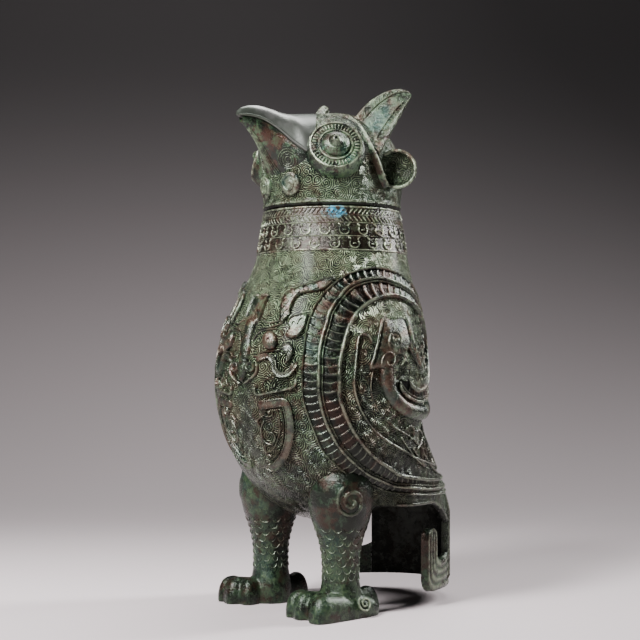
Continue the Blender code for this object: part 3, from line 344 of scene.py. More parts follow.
class Casting:
    """Points and faces of one piece; wear is how rubbed a point is, or below 0 how much painted shade it gets
    in a dark hollow.
    """

    def __init__(self):
        self.points, self.quads, self.wear, self.count = [], [], [], 0

    def sheet(self, points, wear, close_rows=False, close_columns=False):
        """Add a grid of points that faces column direction x row direction."""
        rows, columns = points.shape[:2]
        index = np.arange(rows * columns).reshape(rows, columns) + self.count
        if close_rows:
            index = np.vstack([index, index[:1]])
        if close_columns:
            index = np.hstack([index, index[:, :1]])
        self.quads.append(np.stack([index[:-1, :-1], index[:-1, 1:], index[1:, 1:], index[1:, :-1]],
                                   -1).reshape(-1, 4))
        self.points.append(points.reshape(-1, 3))
        self.wear.append(np.broadcast_to(np.asarray(wear, float), (rows, columns)).reshape(-1))
        self.count += rows * columns

    def ridge(self, path, section, land, closed=False, ends=2.0, wear=1.0):
        """Raised line on a skin; section is (across, lift) pairs, ends the length of its pointed ends."""
        section = np.asarray(section, float)
        base, out = land(path)
        if closed:
            run = np.roll(base, -1, 0) - np.roll(base, 1, 0)
        else:
            run = np.gradient(base, axis=0)
        side = unit(np.cross(unit(run), out))
        size = np.ones(len(path))
        if ends and not closed:
            length = np.concatenate([[0.0], np.cumsum(np.linalg.norm(np.diff(base, axis=0), axis=1))])
            near = np.minimum(length, length[-1] - length) / ends
            size = np.clip(np.sqrt(np.clip(near, 0.0, 1.0)), 0.06, 1.0)
        across = section[:, 0][None, :] * size[:, None]
        lift = section[:, 1] * np.where(section[:, 1] > 0.0, size[:, None], 1.0)
        skin, away = land(base[:, None, :] + side[:, None, :] * across[..., None])
        top = max(section[:, 1].max(), 0.01)
        share = np.clip(section[:, 1] / top, 0.0, 1.0) ** 2 * wear
        self.sheet(skin + away * lift[..., None], share[None, :], close_rows=closed)

    def plate(self, outline, section, land, wear=1.0):
        """Raised patch in a closed outline; section is (share of the outline, lift) pairs to the middle."""
        middle = land(outline.mean(0)[None])[0]
        rows, rub = [], []
        top = max(lift for _, lift in section)
        for share, lift in section:
            skin, away = land(middle + (outline - middle) * share)
            rows.append(skin + away * lift)
            rub.append(np.clip(lift / top, 0.0, 1.0) ** 2 * wear)
        grid = np.array(rows)
        forward = np.cross(outline[1] - outline[0], middle[0] - outline[0]) @ land(outline[:1])[1][0]
        if forward < 0.0:
            grid = grid[:, ::-1]
        self.sheet(grid, np.array(rub)[:, None], close_columns=True)

    def round_piece(self, outline, base, axis, sides, wear):
        """Surface turned about an axis; outline is (radius, height along the axis) pairs."""
        up = unit(np.asarray(axis, float))
        across = unit(np.cross(up, (0.0, 0.0, 1.0) if abs(up[2]) < 0.9 else (0.0, 1.0, 0.0)))
        over = np.cross(up, across)
        outline = np.asarray(outline, float)
        a = full_turn(sides)
        spoke = np.cos(a)[:, None] * across + np.sin(a)[:, None] * over
        points = np.asarray(base, float) + outline[:, :1, None] * spoke + outline[:, 1:, None] * up
        self.sheet(points, np.asarray(wear, float)[:, None], close_columns=True)

    def mesh(self, name, mirror=False, middle=0.0):
        """Mesh in the part's frame, in metres; a mirror image may be about a middle turned from the front."""
        points = np.vstack(self.points)
        quads = np.vstack(self.quads)
        if mirror:
            turn = np.arctan2(points[:, 0], -points[:, 1])
            other = 2.0 * math.radians(middle) - turn
            off = np.hypot(points[:, 0], points[:, 1])
            if middle:
                off = off - hull_radius(turn, points[:, 2]) + hull_radius(other, points[:, 2])
            points = at_turn(other, off, points[:, 2])
            quads = quads[:, ::-1]
        points = (points + (0.0, AXIS_Y, 0.0)) * MM
        mesh = bpy.data.meshes.new(name)
        mesh.vertices.add(len(points))
        mesh.vertices.foreach_set("co", points.ravel())
        mesh.loops.add(quads.size)
        mesh.loops.foreach_set("vertex_index", quads.ravel().astype(np.int32))
        mesh.polygons.add(len(quads))
        mesh.polygons.foreach_set("loop_start", np.arange(0, quads.size, 4, dtype=np.int32))
        mesh.polygons.foreach_set("loop_total", np.full(len(quads), 4, dtype=np.int32))
        mesh.update(calc_edges=True)
        # The wear attribute also carries painted shade, as values below 0
        layer = mesh.attributes.new("wear", 'FLOAT', 'POINT')
        layer.data.foreach_set("value", np.concatenate(self.wear))
        work = bmesh.new()
        work.from_mesh(mesh)
        bmesh.ops.remove_doubles(work, verts=work.verts, dist=2e-6)
        bmesh.ops.dissolve_degenerate(work, edges=work.edges, dist=1e-7)
        work.to_mesh(mesh)
        work.free()
        return mesh

    def make(self, name, body, finish, slot, *nodes, mirror=False, middle=0.0, sharp=50.0):
        """The piece itself, riding on a body and standing for CAD nodes."""
        mesh = self.mesh(name, mirror, middle)
        mesh.shade_smooth()
        mesh.set_sharp_from_angle(angle=math.radians(sharp))
        mesh.materials.append(finish)
        piece = bpy.data.objects.new(name, mesh)
        bpy.context.scene.collection.objects.link(piece)
        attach(piece, body)
        if nodes:
            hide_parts(*nodes)
        return piece

    def pair(self, name, body, finish, slot, *nodes, middle=0.0, sharp=50.0):
        """The left-hand piece and its mirror image; names and nodes are given without their side."""
        for side in ("left", "right"):
            self.make(f"{side}_{name}", body, finish, slot, *(f"{side}_{node}" for node in nodes),
                      mirror=side == "right", middle=middle, sharp=sharp)


def bead(width, height, sides=6):
    """Rounded line section."""
    a = np.linspace(math.pi, 0.0, sides + 1)
    return np.stack([0.5 * width * np.cos(a), (height + SUNK) * np.sin(a) - SUNK], 1)


def both_sides(half_section):
    """Line section from the half of it that ends in its middle."""
    return np.array([*half_section, *((-x, z) for x, z in half_section[-2::-1])])


def slab(width, height):
    """Flat-topped line section."""
    half = width / 2.0
    return both_sides([(-half, -SUNK), (-half + 0.2, height * 0.75), (-half + 0.5, height),
                       (0.0, height * 1.04)])


def grooved(width, height):
    """Flat-topped line section with a line cut along its middle."""
    half = width / 2.0
    return both_sides([(-half, -SUNK), (-half + 0.35, height), (-0.42, height), (0.0, height - 0.45)])


def frame_on(point, land):
    """Skin point with its level and rising directions."""
    base, out = land(np.asarray(point, float)[None])
    level = unit(np.cross((0.0, 0.0, 1.0), out[0]))
    return base[0], level, np.cross(out[0], level)


def circle_on(point, land, radius, sides=32):
    """Ring of points round a point of a skin."""
    base, level, up = frame_on(point, land)
    a = full_turn(sides)
    return base + radius * (np.cos(a)[:, None] * level + np.sin(a)[:, None] * up)


def spiral(point, land, radius, turns, inner, start=0.0):
    """Spiral line round a point of a skin, from its outside in to a share of its radius."""
    base, level, up = frame_on(point, land)
    a = np.linspace(0.0, 2.0 * math.pi * turns, int(40 * turns) + 2)
    r = radius * (1.0 - (1.0 - inner) * a / a[-1])
    path = base + (r * np.cos(start + a))[:, None] * level + (r * np.sin(start + a))[:, None] * up
    return even_steps(path, 0.7)


def lifted(land, rise):
    """Landing on the top of a plate that stands on a skin."""
    def higher(points):
        skin, away = land(points)
        return skin + away * rise, away
    return higher


# Finishes

class Value:
    """Shader socket that Python arithmetic works on."""

    def __init__(self, paint, socket):
        self.paint, self.socket = paint, socket

    def sum(self, operation, *terms):
        return self.paint.node('ShaderNodeMath', {'operation': operation}, terms)

    def __add__(self, other):
        return self.sum('ADD', self, other)

    def __sub__(self, other):
        return self.sum('SUBTRACT', self, other)

    def __rsub__(self, other):
        return self.sum('SUBTRACT', other, self)

    def __mul__(self, other):
        return self.sum('MULTIPLY', self, other)

    def __truediv__(self, other):
        return self.sum('DIVIDE', self, other)

    def __pow__(self, other):
        return self.sum('POWER', self, other)

    __radd__ = __add__
    __rmul__ = __mul__


class Paint:
    """Node material of one finish."""

    def __init__(self, name):
        self.material = bpy.data.materials.new(name)
        self.material.use_nodes = True
        self.tree = self.material.node_tree
        self.shader = self.tree.nodes["Principled BSDF"]

    def node(self, kind, settings=None, inputs=(), output=0):
        """A node with its settings and the values or links of its sockets; gives one of its outputs."""
        made = self.tree.nodes.new(kind)
        for key, value in (settings or {}).items():
            setattr(made, key, value)
        for key, value in (inputs.items() if isinstance(inputs, dict) else enumerate(inputs)):
            if isinstance(value, Value):
                self.tree.links.new(value.socket, made.inputs[key])
            else:
                made.inputs[key].default_value = value
        return Value(self, made.outputs[output])

    def place(self):
        return self.node('ShaderNodeTexCoord', output='Object')

    def noise(self, place, scale, detail=3.0, rough=0.55):
        return self.node('ShaderNodeTexNoise', None, {'Vector': place, 'Scale': scale, 'Detail': detail,
                                                     'Roughness': rough}, 'Fac')

    def between(self, value, low, high):
        """0 below low, 1 above high, smooth between."""
        return self.node('ShaderNodeMapRange', {'interpolation_type': 'SMOOTHSTEP'},
                         {0: value, 1: low, 2: high, 3: 0.0, 4: 1.0})

    def mix(self, share, first, second):
        """Colour between two colours."""
        first, second = (c if isinstance(c, Value) else (*c, 1.0) for c in (first, second))
        return self.node('ShaderNodeMix', {'data_type': 'RGBA'}, {0: share, 6: first, 7: second}, 2)

    def bump(self, height, strength, distance):
        return self.node('ShaderNodeBump', None,
                         {'Strength': strength, 'Distance': distance, 'Height': height})

    def attribute(self, name):
        return self.node('ShaderNodeAttribute', {'attribute_name': name}, output='Fac')

    def parts(self, vector):
        """The three numbers of a vector."""
        first = self.node('ShaderNodeSeparateXYZ', None, (vector,))
        return [Value(self, first.socket.node.outputs[k]) for k in range(3)]

    def turn(self, x, y):
        """Angle from the front about the neck axis."""
        return self.node('ShaderNodeMath', {'operation': 'ARCTAN2'}, (x, AXIS_Y * MM - y))

    def set(self, **sockets):
        """Values or links on the shader; an underscore stands for a space."""
        for name, value in sockets.items():
            socket = self.shader.inputs[name.replace("_", " ")]
            if isinstance(value, Value):
                self.tree.links.new(value.socket, socket)
            else:
                socket.default_value = value
        return self.material


# Colours of the patina, the bill and the clay, with the dark colours of painted shade
DARK_METAL, RED_BROWN = (0.009, 0.013, 0.009), (0.085, 0.026, 0.014)
MALACHITE, TEAL, LICHEN = (0.026, 0.074, 0.032), (0.010, 0.070, 0.055), (0.13, 0.21, 0.085)
HAZE, SHADOW, COLLAR_BROWN = (0.25, 0.25, 0.20), (0.009, 0.011, 0.008), (0.020, 0.014, 0.010)
GROOVE_SHADE, LINE_DUST_AND_PAINTED_LIGHT, RUBBED = (0.006, 0.008, 0.006), (0.32, 0.40, 0.24), (0.36, 0.40, 0.28)
HOLLOW_SHADE, BLUE_STAIN = (0.006, 0.006, 0.005), (0.04, 0.30, 0.46)
BILL_SILVER, BILL_TARNISH, BILL_DARK_AND_SHADE = (0.25, 0.25, 0.24), (0.10, 0.115, 0.095), (0.026, 0.036, 0.024)
CLAY_RED, CLAY_BROWN = (0.30, 0.17, 0.10), (0.17, 0.09, 0.06)

# Heights in metres between which the painted shade toward the floor fades, the painted light on the scroll
# lines grows and the collar's plain band starts
SHADE_HEIGHTS, PAINTED_TOP_LIGHT_HEIGHTS, COLLAR_HEIGHTS = (0.08, 0.22), (0.13, 0.27), (0.2735, 0.2755)

# Distances forward and heights in metres between which the bill's dark back and the painted shade on its
# underside fade
BILL_BACK_FADE, BILL_UNDER_SHADE_FADE = (0.034, 0.062), (0.348, 0.360)

# Middle of the blue stain as a turn in radians and a height in metres, and how fast it ends each way
STAIN_TURN, STAIN_HEIGHT, STAIN_ROUND, STAIN_UP = 0.92, 0.3035, 4.6, 170.0


def scroll_ground(paint, place, girth, cell, pitch):
    """Height from 0 to 1 of the fine round scrolls that fill the ground between the raised ornament."""
    x, y, z = paint.parts(place)
    back = y - AXIS_Y * MM
    off = (x * x + back * back) ** 0.5
    around = paint.turn(x, y) * (girth + off / MM) * 0.5
    slow, quick = paint.noise(place, 70.0, 2.0, 0.5), paint.noise(place, 330.0, 3.0, 0.6)
    drift = (slow - 0.5) * 3.0 + (quick - 0.5) * 2.2
    flat = paint.node('ShaderNodeCombineXYZ', None, (around + drift, z / MM + drift, 0.0))
    centre = paint.node('ShaderNodeTexVoronoi', {'voronoi_dimensions': '2D'},
                        {'Vector': flat, 'Scale': 1.0 / cell, 'Randomness': 0.75}, 'Position')
    away = paint.node('ShaderNodeVectorMath', {'operation': 'SUBTRACT'}, (flat, centre))
    reach = paint.node('ShaderNodeVectorMath', {'operation': 'LENGTH'}, (away,), 'Value')
    dx, dy, _ = paint.parts(away)
    spin = paint.node('ShaderNodeMath', {'operation': 'ARCTAN2'}, (dy, dx))
    wave = paint.node('ShaderNodeMath', {'operation': 'SINE'}, (reach * (2.0 * math.pi / pitch) + spin,))
    return wave * 0.5 + 0.5


def bronze(name, ground, green, brown, pale, stain=False, collar=False, haze=0.0, deep=0.0, gloss=0.65):
    """Old cast bronze: dark metal, malachite and red-brown patches, rubbed ridges, scrolls in the ground;
    with painted shade toward the floor, in hollows and in the scroll cuts, and painted light on the scroll
    lines higher up.
    """
    paint = Paint(name)
    place = paint.place()
    x, y, z = paint.parts(place)
    mark = paint.attribute("wear")
    wear = paint.node('ShaderNodeMath', {'operation': 'MAXIMUM'}, (mark, 0.0))
    hollow_shade = paint.node('ShaderNodeMath', {'operation': 'MAXIMUM'}, (0.0 - mark, 0.0))
    broad = paint.noise(place, 18.0, 4.0, 0.6)
    patch = paint.noise(place, 62.0, 5.0, 0.65)
    fleck = paint.noise(place, 170.0, 5.0, 0.72)
    grain = paint.noise(place, 620.0, 4.0, 0.7)

    # Patches over the dark metal
    colour = paint.mix(paint.between(patch, 0.47, 0.58) * brown, DARK_METAL, RED_BROWN)
    malachite = paint.between(broad * 0.45 + fleck * 0.55, 0.58 - 0.16 * green, 0.68 - 0.12 * green)
    colour = paint.mix(malachite * (0.4 + 0.5 * green), colour, MALACHITE)
    teal = paint.between(paint.noise(place, 34.0, 4.0, 0.6), 0.56, 0.68)
    colour = paint.mix(teal * (0.6 * green), colour, TEAL)
    lichen = paint.between(fleck * 0.5 + grain * 0.5, 0.48, 0.60) * paint.between(broad, 0.40, 0.60)
    colour = paint.mix(lichen * (0.75 * pale), colour, LICHEN)
    if haze:
        colour = paint.mix(haze * paint.between(fleck, 0.25, 0.60), colour, HAZE)
    # Painted shade: darker toward the floor, plus an even darkening of the whole piece set by deep
    shade = deep + (1.0 - deep) * 0.55 * (1.0 - paint.between(z, *SHADE_HEIGHTS))
    colour = paint.mix(shade, colour, SHADOW)
    height = grain * 0.5 + fleck * 0.8
    groove_shade = hollow_shade

    # Scrolls: cuts darkened with painted shade, dusty lines brighter higher up as painted light, and none on
    # the collar's plain band
    if ground:
        scrolls = scroll_ground(paint, place, *ground)
        bare = 1.0 - paint.node('ShaderNodeMath', {'operation': 'ABSOLUTE'}, (mark,))
        if collar:
            plain = paint.between(z, *COLLAR_HEIGHTS)
            colour = paint.mix(plain * 0.8, colour, COLLAR_BROWN)
            bare = bare * (1.0 - plain)
        dust_and_painted_light = paint.between(paint.noise(place, 30.0, 5.0, 0.7) * 0.65 + grain * 0.35, 0.42, 0.58)
        # Painted light: scroll lines brighter higher up, where more light falls
        high = paint.between(z, *PAINTED_TOP_LIGHT_HEIGHTS)
        dust_and_painted_light = dust_and_painted_light + (1.0 - dust_and_painted_light) * high * 0.5
        # Painted shade in the scroll cuts, which the bump alone leaves unshaded
        cut = (1.0 - paint.between(scrolls, 0.1, 0.5)) * bare
        colour = paint.mix(cut * 0.85, colour, GROOVE_SHADE)
        lines = paint.between(scrolls, 0.55, 0.9) * bare
        colour = paint.mix(lines * (0.12 + 0.88 * dust_and_painted_light) * (0.35 + 0.65 * high) * pale, colour, LINE_DUST_AND_PAINTED_LIGHT)
        height = height + scrolls * bare * 1.5
        groove_shade = groove_shade + cut * 0.6

    # Rubbed ridges, painted shade in hollows and on insides, and the blue stain
    rubbed = wear * paint.between(fleck, 0.34, 0.60)
    colour = paint.mix(rubbed * pale, colour, RUBBED)
    colour = paint.mix(hollow_shade * 0.9, colour, HOLLOW_SHADE)
    if stain:
        far = ((paint.turn(x, y) - STAIN_TURN) * STAIN_ROUND) ** 2 + ((z - STAIN_HEIGHT) * STAIN_UP) ** 2
        near = (1.0 - paint.between(far, 0.1, 1.0)) * (1.0 - hollow_shade)
        colour = paint.mix(near * paint.between(fleck, 0.46, 0.58), colour, BLUE_STAIN)
    rough = 0.15 + 0.16 * paint.between(patch, 0.3, 0.7) + malachite * 0.10 - rubbed * 0.03
    return paint.set(Base_Color=colour, Roughness=rough, Metallic=0.55 - malachite * 0.30 + groove_shade * 0.4,
                     Normal=paint.bump(height, 0.9, 0.0009), Specular_IOR_Level=gloss,
                     Coat_Weight=0.06 * (1.0 - groove_shade), Coat_Roughness=0.2)


def polished(name):
    """Smooth pale upper bill with cloudy tarnish, dark patina at its back and painted shade on its underside.
    """
    paint = Paint(name)
    place = paint.place()
    cloud = paint.noise(place, 38.0, 4.0, 0.6)
    grain = paint.noise(place, 520.0, 3.0, 0.6)
    colour = paint.mix(paint.between(cloud, 0.42, 0.66), BILL_SILVER, BILL_TARNISH)
    _, y, z = paint.parts(place)
    forward = AXIS_Y * MM - y
    back = 1.0 - paint.between(forward + (cloud - 0.5) * 0.03, *BILL_BACK_FADE)
    # Painted shade: the bill's underside darker
    under = 1.0 - paint.between(z - forward * 0.25 + (cloud - 0.5) * 0.012, *BILL_UNDER_SHADE_FADE)
    dark = paint.node('ShaderNodeMath', {'operation': 'MAXIMUM'}, (back, under * 0.75))
    colour = paint.mix(dark * 0.92, colour, BILL_DARK_AND_SHADE)
    return paint.set(Base_Color=colour, Roughness=0.24 + 0.16 * cloud, Metallic=0.85 - 0.4 * dark,
                     Normal=paint.bump(grain, 0.3, 0.0003), Specular_IOR_Level=0.9)


def clay(name):
    """Fired clay of the casting cores."""
    paint = Paint(name)
    place = paint.place()
    colour = paint.mix(paint.noise(place, 120.0), CLAY_RED, CLAY_BROWN)
    bump = paint.bump(paint.noise(place, 700.0), 0.4, 0.0008)
    return paint.set(Base_Color=colour, Roughness=0.9, Normal=bump)


# Scroll grounds as (girth, cell, line pitch) in millimetres
BODY_GROUND, HEAD_GROUND = (74.0, 10.0, 1.5), (52.0, 8.5, 1.5)

SKIN = bronze("patinated_skin", BODY_GROUND, green=0.65, brown=0.55, pale=0.95, stain=True, collar=True)
HEAD_SKIN = bronze("head_patina", HEAD_GROUND, green=0.8, brown=0.5, pale=0.5)
CHIN_SKIN = bronze("chin_patina", None, green=0.7, brown=0.55, pale=0.5, deep=0.15)
RELIEF = bronze("rubbed_relief", None, green=0.5, brown=0.5, pale=0.3, stain=True)
COLLAR = bronze("collar_marks", None, green=0.3, brown=0.5, pale=0.85, stain=True)
LEG_SKIN = bronze("leg_patina", None, green=0.9, brown=0.65, pale=1.0, deep=0.3, gloss=0.35)
EYE_SKIN = bronze("eye_patina", None, green=0.8, brown=0.3, pale=0.6)
PUPIL = bronze("pupil_patina", None, green=1.0, brown=0.2, pale=0.5)
HORN_SKIN = bronze("horn_patina", None, green=0.8, brown=0.5, pale=0.5, haze=0.12)
BILL = polished("pale_bill")
CLAY = clay("fired_clay_core")

for side in ("left", "right"):
    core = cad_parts[f"{side}_leg_core"]
    core.data.materials.clear()
    core.data.materials.append(CLAY)


# Vessel

# Rounding of the mouth's lip, rounding and rise of the skirt's rim, and the laps of skirt and wall
LIP_ROUND, RIM_ROUND, RIM_RISE, TAIL_LAP, WALL_LAP = 0.6, 1.2, 1.4, 4.0, 6.0

# How far the skirt and the wall stand proud of the hull, and the insets of the wall's inside and sole
SKIRT_PROUD, WALL_PROUD, WALL_INSET, SOLE_INSET = 0.12, 0.07, 0.05, 0.38

# Grain and smoothing of the fused legs
FUSE_STEP, FUSE_ROUNDS = 0.95, 5


def vessel_skin():
    """Hollow body from the belly over the rolled mouth and down inside."""
    turn = full_turn(288, -math.pi)

    def wall(out, count):
        heights, reaches = body_levels(out, count)
        rows = [at_turn(turn, oval(turn, *reach), height) for height, *reach in zip(heights[:-1], *reaches)]
        return rows + [at_turn(turn, MOUTH_RADIUS + out, MOUTH_HEIGHT - LIP_ROUND)]

    outside, inside = wall(0.0, 92), wall(-BODY_WALL, 40)
    lip = [at_turn(turn, radius, MOUTH_HEIGHT)
           for radius in (MOUTH_RADIUS - LIP_ROUND, MOUTH_RADIUS - BODY_WALL + LIP_ROUND)]
    # The inside is marked with -1 for near-black painted shade
    hollow_shade = np.repeat([0.0, -1.0], [len(outside) + len(lip), len(inside)])
    skin = Casting()
    skin.sheet(np.array(outside + lip + inside[::-1]), hollow_shade[:, None], close_columns=True)
    skin.make("vessel_skin", "vessel", SKIN, "dark_bronze", "vessel_body")


def arch_height(turn):
    """Height of the skirt's edge, which bends down into the wall behind the open flanks."""
    spread = np.abs(np.arctan2(np.sin(turn), np.cos(turn)))
    return SKIRT_HEIGHT - ARCH_DROP * np.clip((spread - ARCH_TURN) / (WALL_TURN - ARCH_TURN), 0.0, 1.0) ** 2


def tail_skin():
    """Flared skirt round the back, thick at its rim, and the wall that drops behind it."""
    half = np.concatenate([np.linspace(SKIRT_FRONT, WALL_TURN, 80), np.linspace(WALL_TURN, math.pi, 40)[1:]])
    turn = np.concatenate([half, 2.0 * math.pi - half[-2::-1]])
    foot = arch_height(turn)
    low = foot + RIM_RISE
    outside, inside = [], []
    for share in np.linspace(0.0, 1.0, 50):
        outside.append(on_hull(turn, low + (TAIL_TOP + TAIL_LAP - low) * share, SKIRT_PROUD))
    for share in np.linspace(1.0, 0.0, 24):
        height = low + (TAIL_TOP - TAIL_LAP - low) * share
        inside.append(at_turn(turn, tail_radius(turn, height) - TAIL_THICKNESS, height))
    for inward in (TAIL_THICKNESS - RIM_ROUND, RIM_ROUND):
        inside.append(at_turn(turn, tail_radius(turn, foot) - inward, foot))
    # The skirt's inside is marked with -1 for near-black painted shade
    hollow_shade = np.repeat([0.0, -1.0], [len(outside), len(inside)])
    skin = Casting()
    skin.sheet(np.array(outside + inside), hollow_shade[:, None], close_rows=True)

    wall = np.linspace(WALL_TURN, 2.0 * math.pi - WALL_TURN, 80)
    loop = []
    for height in np.linspace(WALL_FOOT, SKIRT_HEIGHT - ARCH_DROP + WALL_LAP, 40):
        inner = at_turn(wall, tail_radius(wall, height) - TAIL_THICKNESS + WALL_INSET, height)
        loop.append(np.vstack([on_hull(wall, height, WALL_PROUD), inner[::-1]]))
    # The wall's inside is marked with -1 for near-black painted shade
    hollow_shade = np.repeat([0.0, -1.0], len(wall))
    skin.sheet(np.array(loop), hollow_shade[None, :], close_columns=True)
    reach = tail_radius(wall, WALL_FOOT)
    sole = [at_turn(wall, reach - inward, WALL_FOOT) for inward in (TAIL_THICKNESS - WALL_INSET, SOLE_INSET)]
    skin.sheet(np.array(sole), 0.0)
    skin.make("tail_skin", "vessel", SKIN, "dark_bronze", "tail")


def fused(parts):
    """One casting from overlapping closed shapes, with cast fillets where they meet."""
    source = Casting()
    for grid in parts:
        source.sheet(grid, 0.0, close_columns=True)
    thing = bpy.data.objects.new("fusing", source.mesh("fusing"))
    bpy.context.scene.collection.objects.link(thing)
    step = thing.modifiers.new("fuse", 'REMESH')
    step.mode, step.voxel_size = 'VOXEL', FUSE_STEP * MM
    step = thing.modifiers.new("round", 'SMOOTH')
    step.factor, step.iterations = 0.5, FUSE_ROUNDS
    graph = bpy.context.evaluated_depsgraph_get()
    mesh = bpy.data.meshes.new_from_object(thing.evaluated_get(graph))
    points = np.empty(len(mesh.vertices) * 3)
    mesh.vertices.foreach_get("co", points)
    quads = np.array([p.vertices[:] for p in mesh.polygons])
    bpy.data.objects.remove(thing)
    cast = Casting()
    cast.points = [points.reshape(-1, 3) / MM - (0.0, AXIS_Y, 0.0)]
    cast.quads = [quads]
    cast.wear = [np.zeros(len(cast.points[0]))]
    cast.count = len(cast.points[0])
    return cast


def capped(rows):
    """Rings with a point at each end, so that the shape is closed."""
    rows = np.asarray(rows, float)
    first = np.broadcast_to(rows[0].mean(0), rows[0].shape)
    last = np.broadcast_to(rows[-1].mean(0), rows[-1].shape)
    return np.vstack([[first], rows, [last]])


def half_round(foot, low):
    """Section of a toe or roll on a flat sole: shares of its half width and of its height."""
    b = np.linspace(math.pi, 0.0, 21)
    return (np.concatenate([[-foot], np.cos(b), [foot]]),
            np.concatenate([[0.0], low + (1.0 - low) * np.sin(b), [0.0]]))


def toe_shape(turn, length):
    """One toe: low middle, full knuckle and blunt claw on a flat sole."""
    a = math.radians(turn)
    ahead = np.array([math.sin(a), -math.cos(a), 0.0])
    across = np.array([math.cos(a), math.sin(a), 0.0])
    wide, lift = half_round(0.92, 0.3)
    rows = []
    for share, width, height in TOE_STATIONS:
        rows.append(LEG_FOOT + ahead * (length * share) + across * (TOE_HALF * width * wide)[:, None]
                    + (TOE_HEIGHT * height * lift)[:, None] * (0.0, 0.0, 1.0))
    return capped(np.array(rows)[:, ::-1])


def foot_roll():
    """Thick roll along the outer side of a foot, from the outer toe back into the spur."""
    wide, lift = half_round(0.9, 0.35)
    rows = []
    for share, size in ROLL_STATIONS:
        x = LEG_X + ROLL_OUT + wide * ROLL_HALF * size
        y = np.full_like(x, LEG_Y + ROLL_FRONT + (ROLL_BACK - ROLL_FRONT) * share)
        rows.append(np.stack([x, y, ROLL_HEIGHT * size * lift], 1))
    return capped(np.array(rows)[:, ::-1])


def leg_scales(leg):
    """Rows of small hanging arcs down the shank, a little uneven."""
    t = np.linspace(0.0, math.pi, 7)
    for row, height in enumerate(np.arange(*SCALE_HEIGHTS)):
        for k in range(SCALES_ROUND):
            shift = k + 0.5 * (row % 2) + 0.12 * math.sin(5.0 * k + 3.0 * row)
            wide = math.pi / SCALES_ROUND * (0.75 + 0.2 * math.sin(3.0 * k + row))
            turn = 2.0 * math.pi * shift / SCALES_ROUND - wide * np.cos(t)
            line = at_turn(turn, leg_radius(0.0, height), height + 1.6 - 3.4 * np.sin(t)) + LEG_FOOT
            leg.ridge(even_steps(line, 0.9), bead(1.0, 0.42, 4), leg_land, ends=2.0, wear=0.3)


def legs():
    """Thigh, shank and foot, with a spiral on the thigh, scales on the shank and a curl on the outer roll."""
    turn = full_turn(72)
    heights = np.linspace(0.0, LEG_OUTLINE[-1][0], 80)
    shaft = [at_turn(turn, leg_radius(turn, h), h) + LEG_FOOT for h in heights]
    thigh = at_turn(THIGH_TURN, THIGH_RADIUS, THIGH_HEIGHT) + LEG_FOOT
    curl = (LEG_X + ROLL_OUT + ROLL_HALF - 0.6, LEG_Y + CURL_BACK, CURL_HEIGHT)
    curl_land = flat_skin(curl, (1.0, 0.0, 0.25))
    for side, toes in (("left", LEFT_TOES), ("right", RIGHT_TOES)):
        leg = fused([capped(shaft), *(toe_shape(*toe) for toe in toes), foot_roll()])
        leg_scales(leg)
        leg.ridge(spiral(thigh, leg_land, 12.5, 1.9, 0.1, 1.9), bead(3.6, 1.0), leg_land, ends=4.0, wear=0.15)
        leg.ridge(spiral(curl, curl_land, 6.4, 1.7, 0.15, 2.2), bead(2.0, 1.4), curl_land, ends=2.0, wear=0.6)
        leg.make(f"{side}_leg_cast", "vessel", LEG_SKIN, "green_bronze", f"{side}_leg",
                 mirror=side == "right", sharp=60.0)


def tail_hooks():
    """Hooks that curl forward and up from the tail wall's front corners, with nested lines along them."""
    bar, slot = HOOK_INSIDE - HOOK_FRONT, HOOK_BACK - HOOK_INSIDE
    foot, tip, sole = WALL_FOOT, WALL_FOOT + HOOK_RISE, WALL_FOOT + HOOK_SOLE
    near = tip - 0.06 * HOOK_RISE
    rungs = [(HOOK_FRONT + 0.38 * bar, tip, HOOK_INSIDE - 0.36 * bar, tip),
             (HOOK_FRONT + 0.1 * bar, near, HOOK_INSIDE - 0.08 * bar, near),
             (HOOK_FRONT, tip - 0.16 * HOOK_RISE, HOOK_INSIDE, tip - 0.15 * HOOK_RISE)]
    bend = 0.66 * HOOK_CORNER
    for a in np.linspace(0.0, math.pi / 2.0, 14):
        over, down = 1.0 - math.cos(a), 1.0 - math.sin(a)
        rungs.append((HOOK_FRONT + bend * over, foot + HOOK_CORNER * down,
                      HOOK_INSIDE + 0.5 * slot * over, sole + 0.5 * HOOK_CORNER * down))
    for share in np.linspace(0.0, 1.0, 8)[1:]:
        rungs.append((HOOK_FRONT + bend + (HOOK_BACK - HOOK_FRONT - bend) * share, foot,
                      HOOK_BACK - 0.5 * slot * (1.0 - share), sole + 3.5 * share**2))
    rungs = even_steps(np.array(rungs), 1.0)
    across = np.linspace(0.0, 1.0, 33)
    turn = np.radians(rungs[:, :1] + (rungs[:, 2:3] - rungs[:, :1]) * across)
    height = rungs[:, 1:2] + (rungs[:, 3:4] - rungs[:, 1:2]) * across
    lines = 0.9 * np.abs(np.sin(4.0 * math.pi * across)) - 0.2
    outer = at_turn(turn, tail_radius(turn, height) + lines, height)
    inner = at_turn(turn, tail_radius(turn, height) - TAIL_THICKNESS, height)[:, ::-1]
    rub = np.concatenate([np.clip(lines, 0.0, 1.0) ** 2 * 0.8, np.zeros(len(across))])
    loops = capped(np.hstack([outer, inner]))
    hook = Casting()
    hook.sheet(loops[:, ::-1], rub[None, ::-1], close_columns=True)
    hook.pair("hook_cast", "vessel", LEG_SKIN, "dark_bronze", "tail_hook", sharp=60.0)


# Head

# Reach of the lower bill's skin, and where the bead along the upper bill's lip starts and ends
BILL_BACK, BILL_FRONT = 37.0, 86.0
LIP_BACK, LIP_FRONT = 36.0, 92.5

# Places of the brow edge and the cheek curl in the photograph's frame
BROW_LINE = ((343, 117), (350, 119), (358, 125), (365, 135), (370, 145), (375, 155), (379, 165), (383, 176),
             (388, 187))
CHEEK_CURL = (290.7, 183.6)

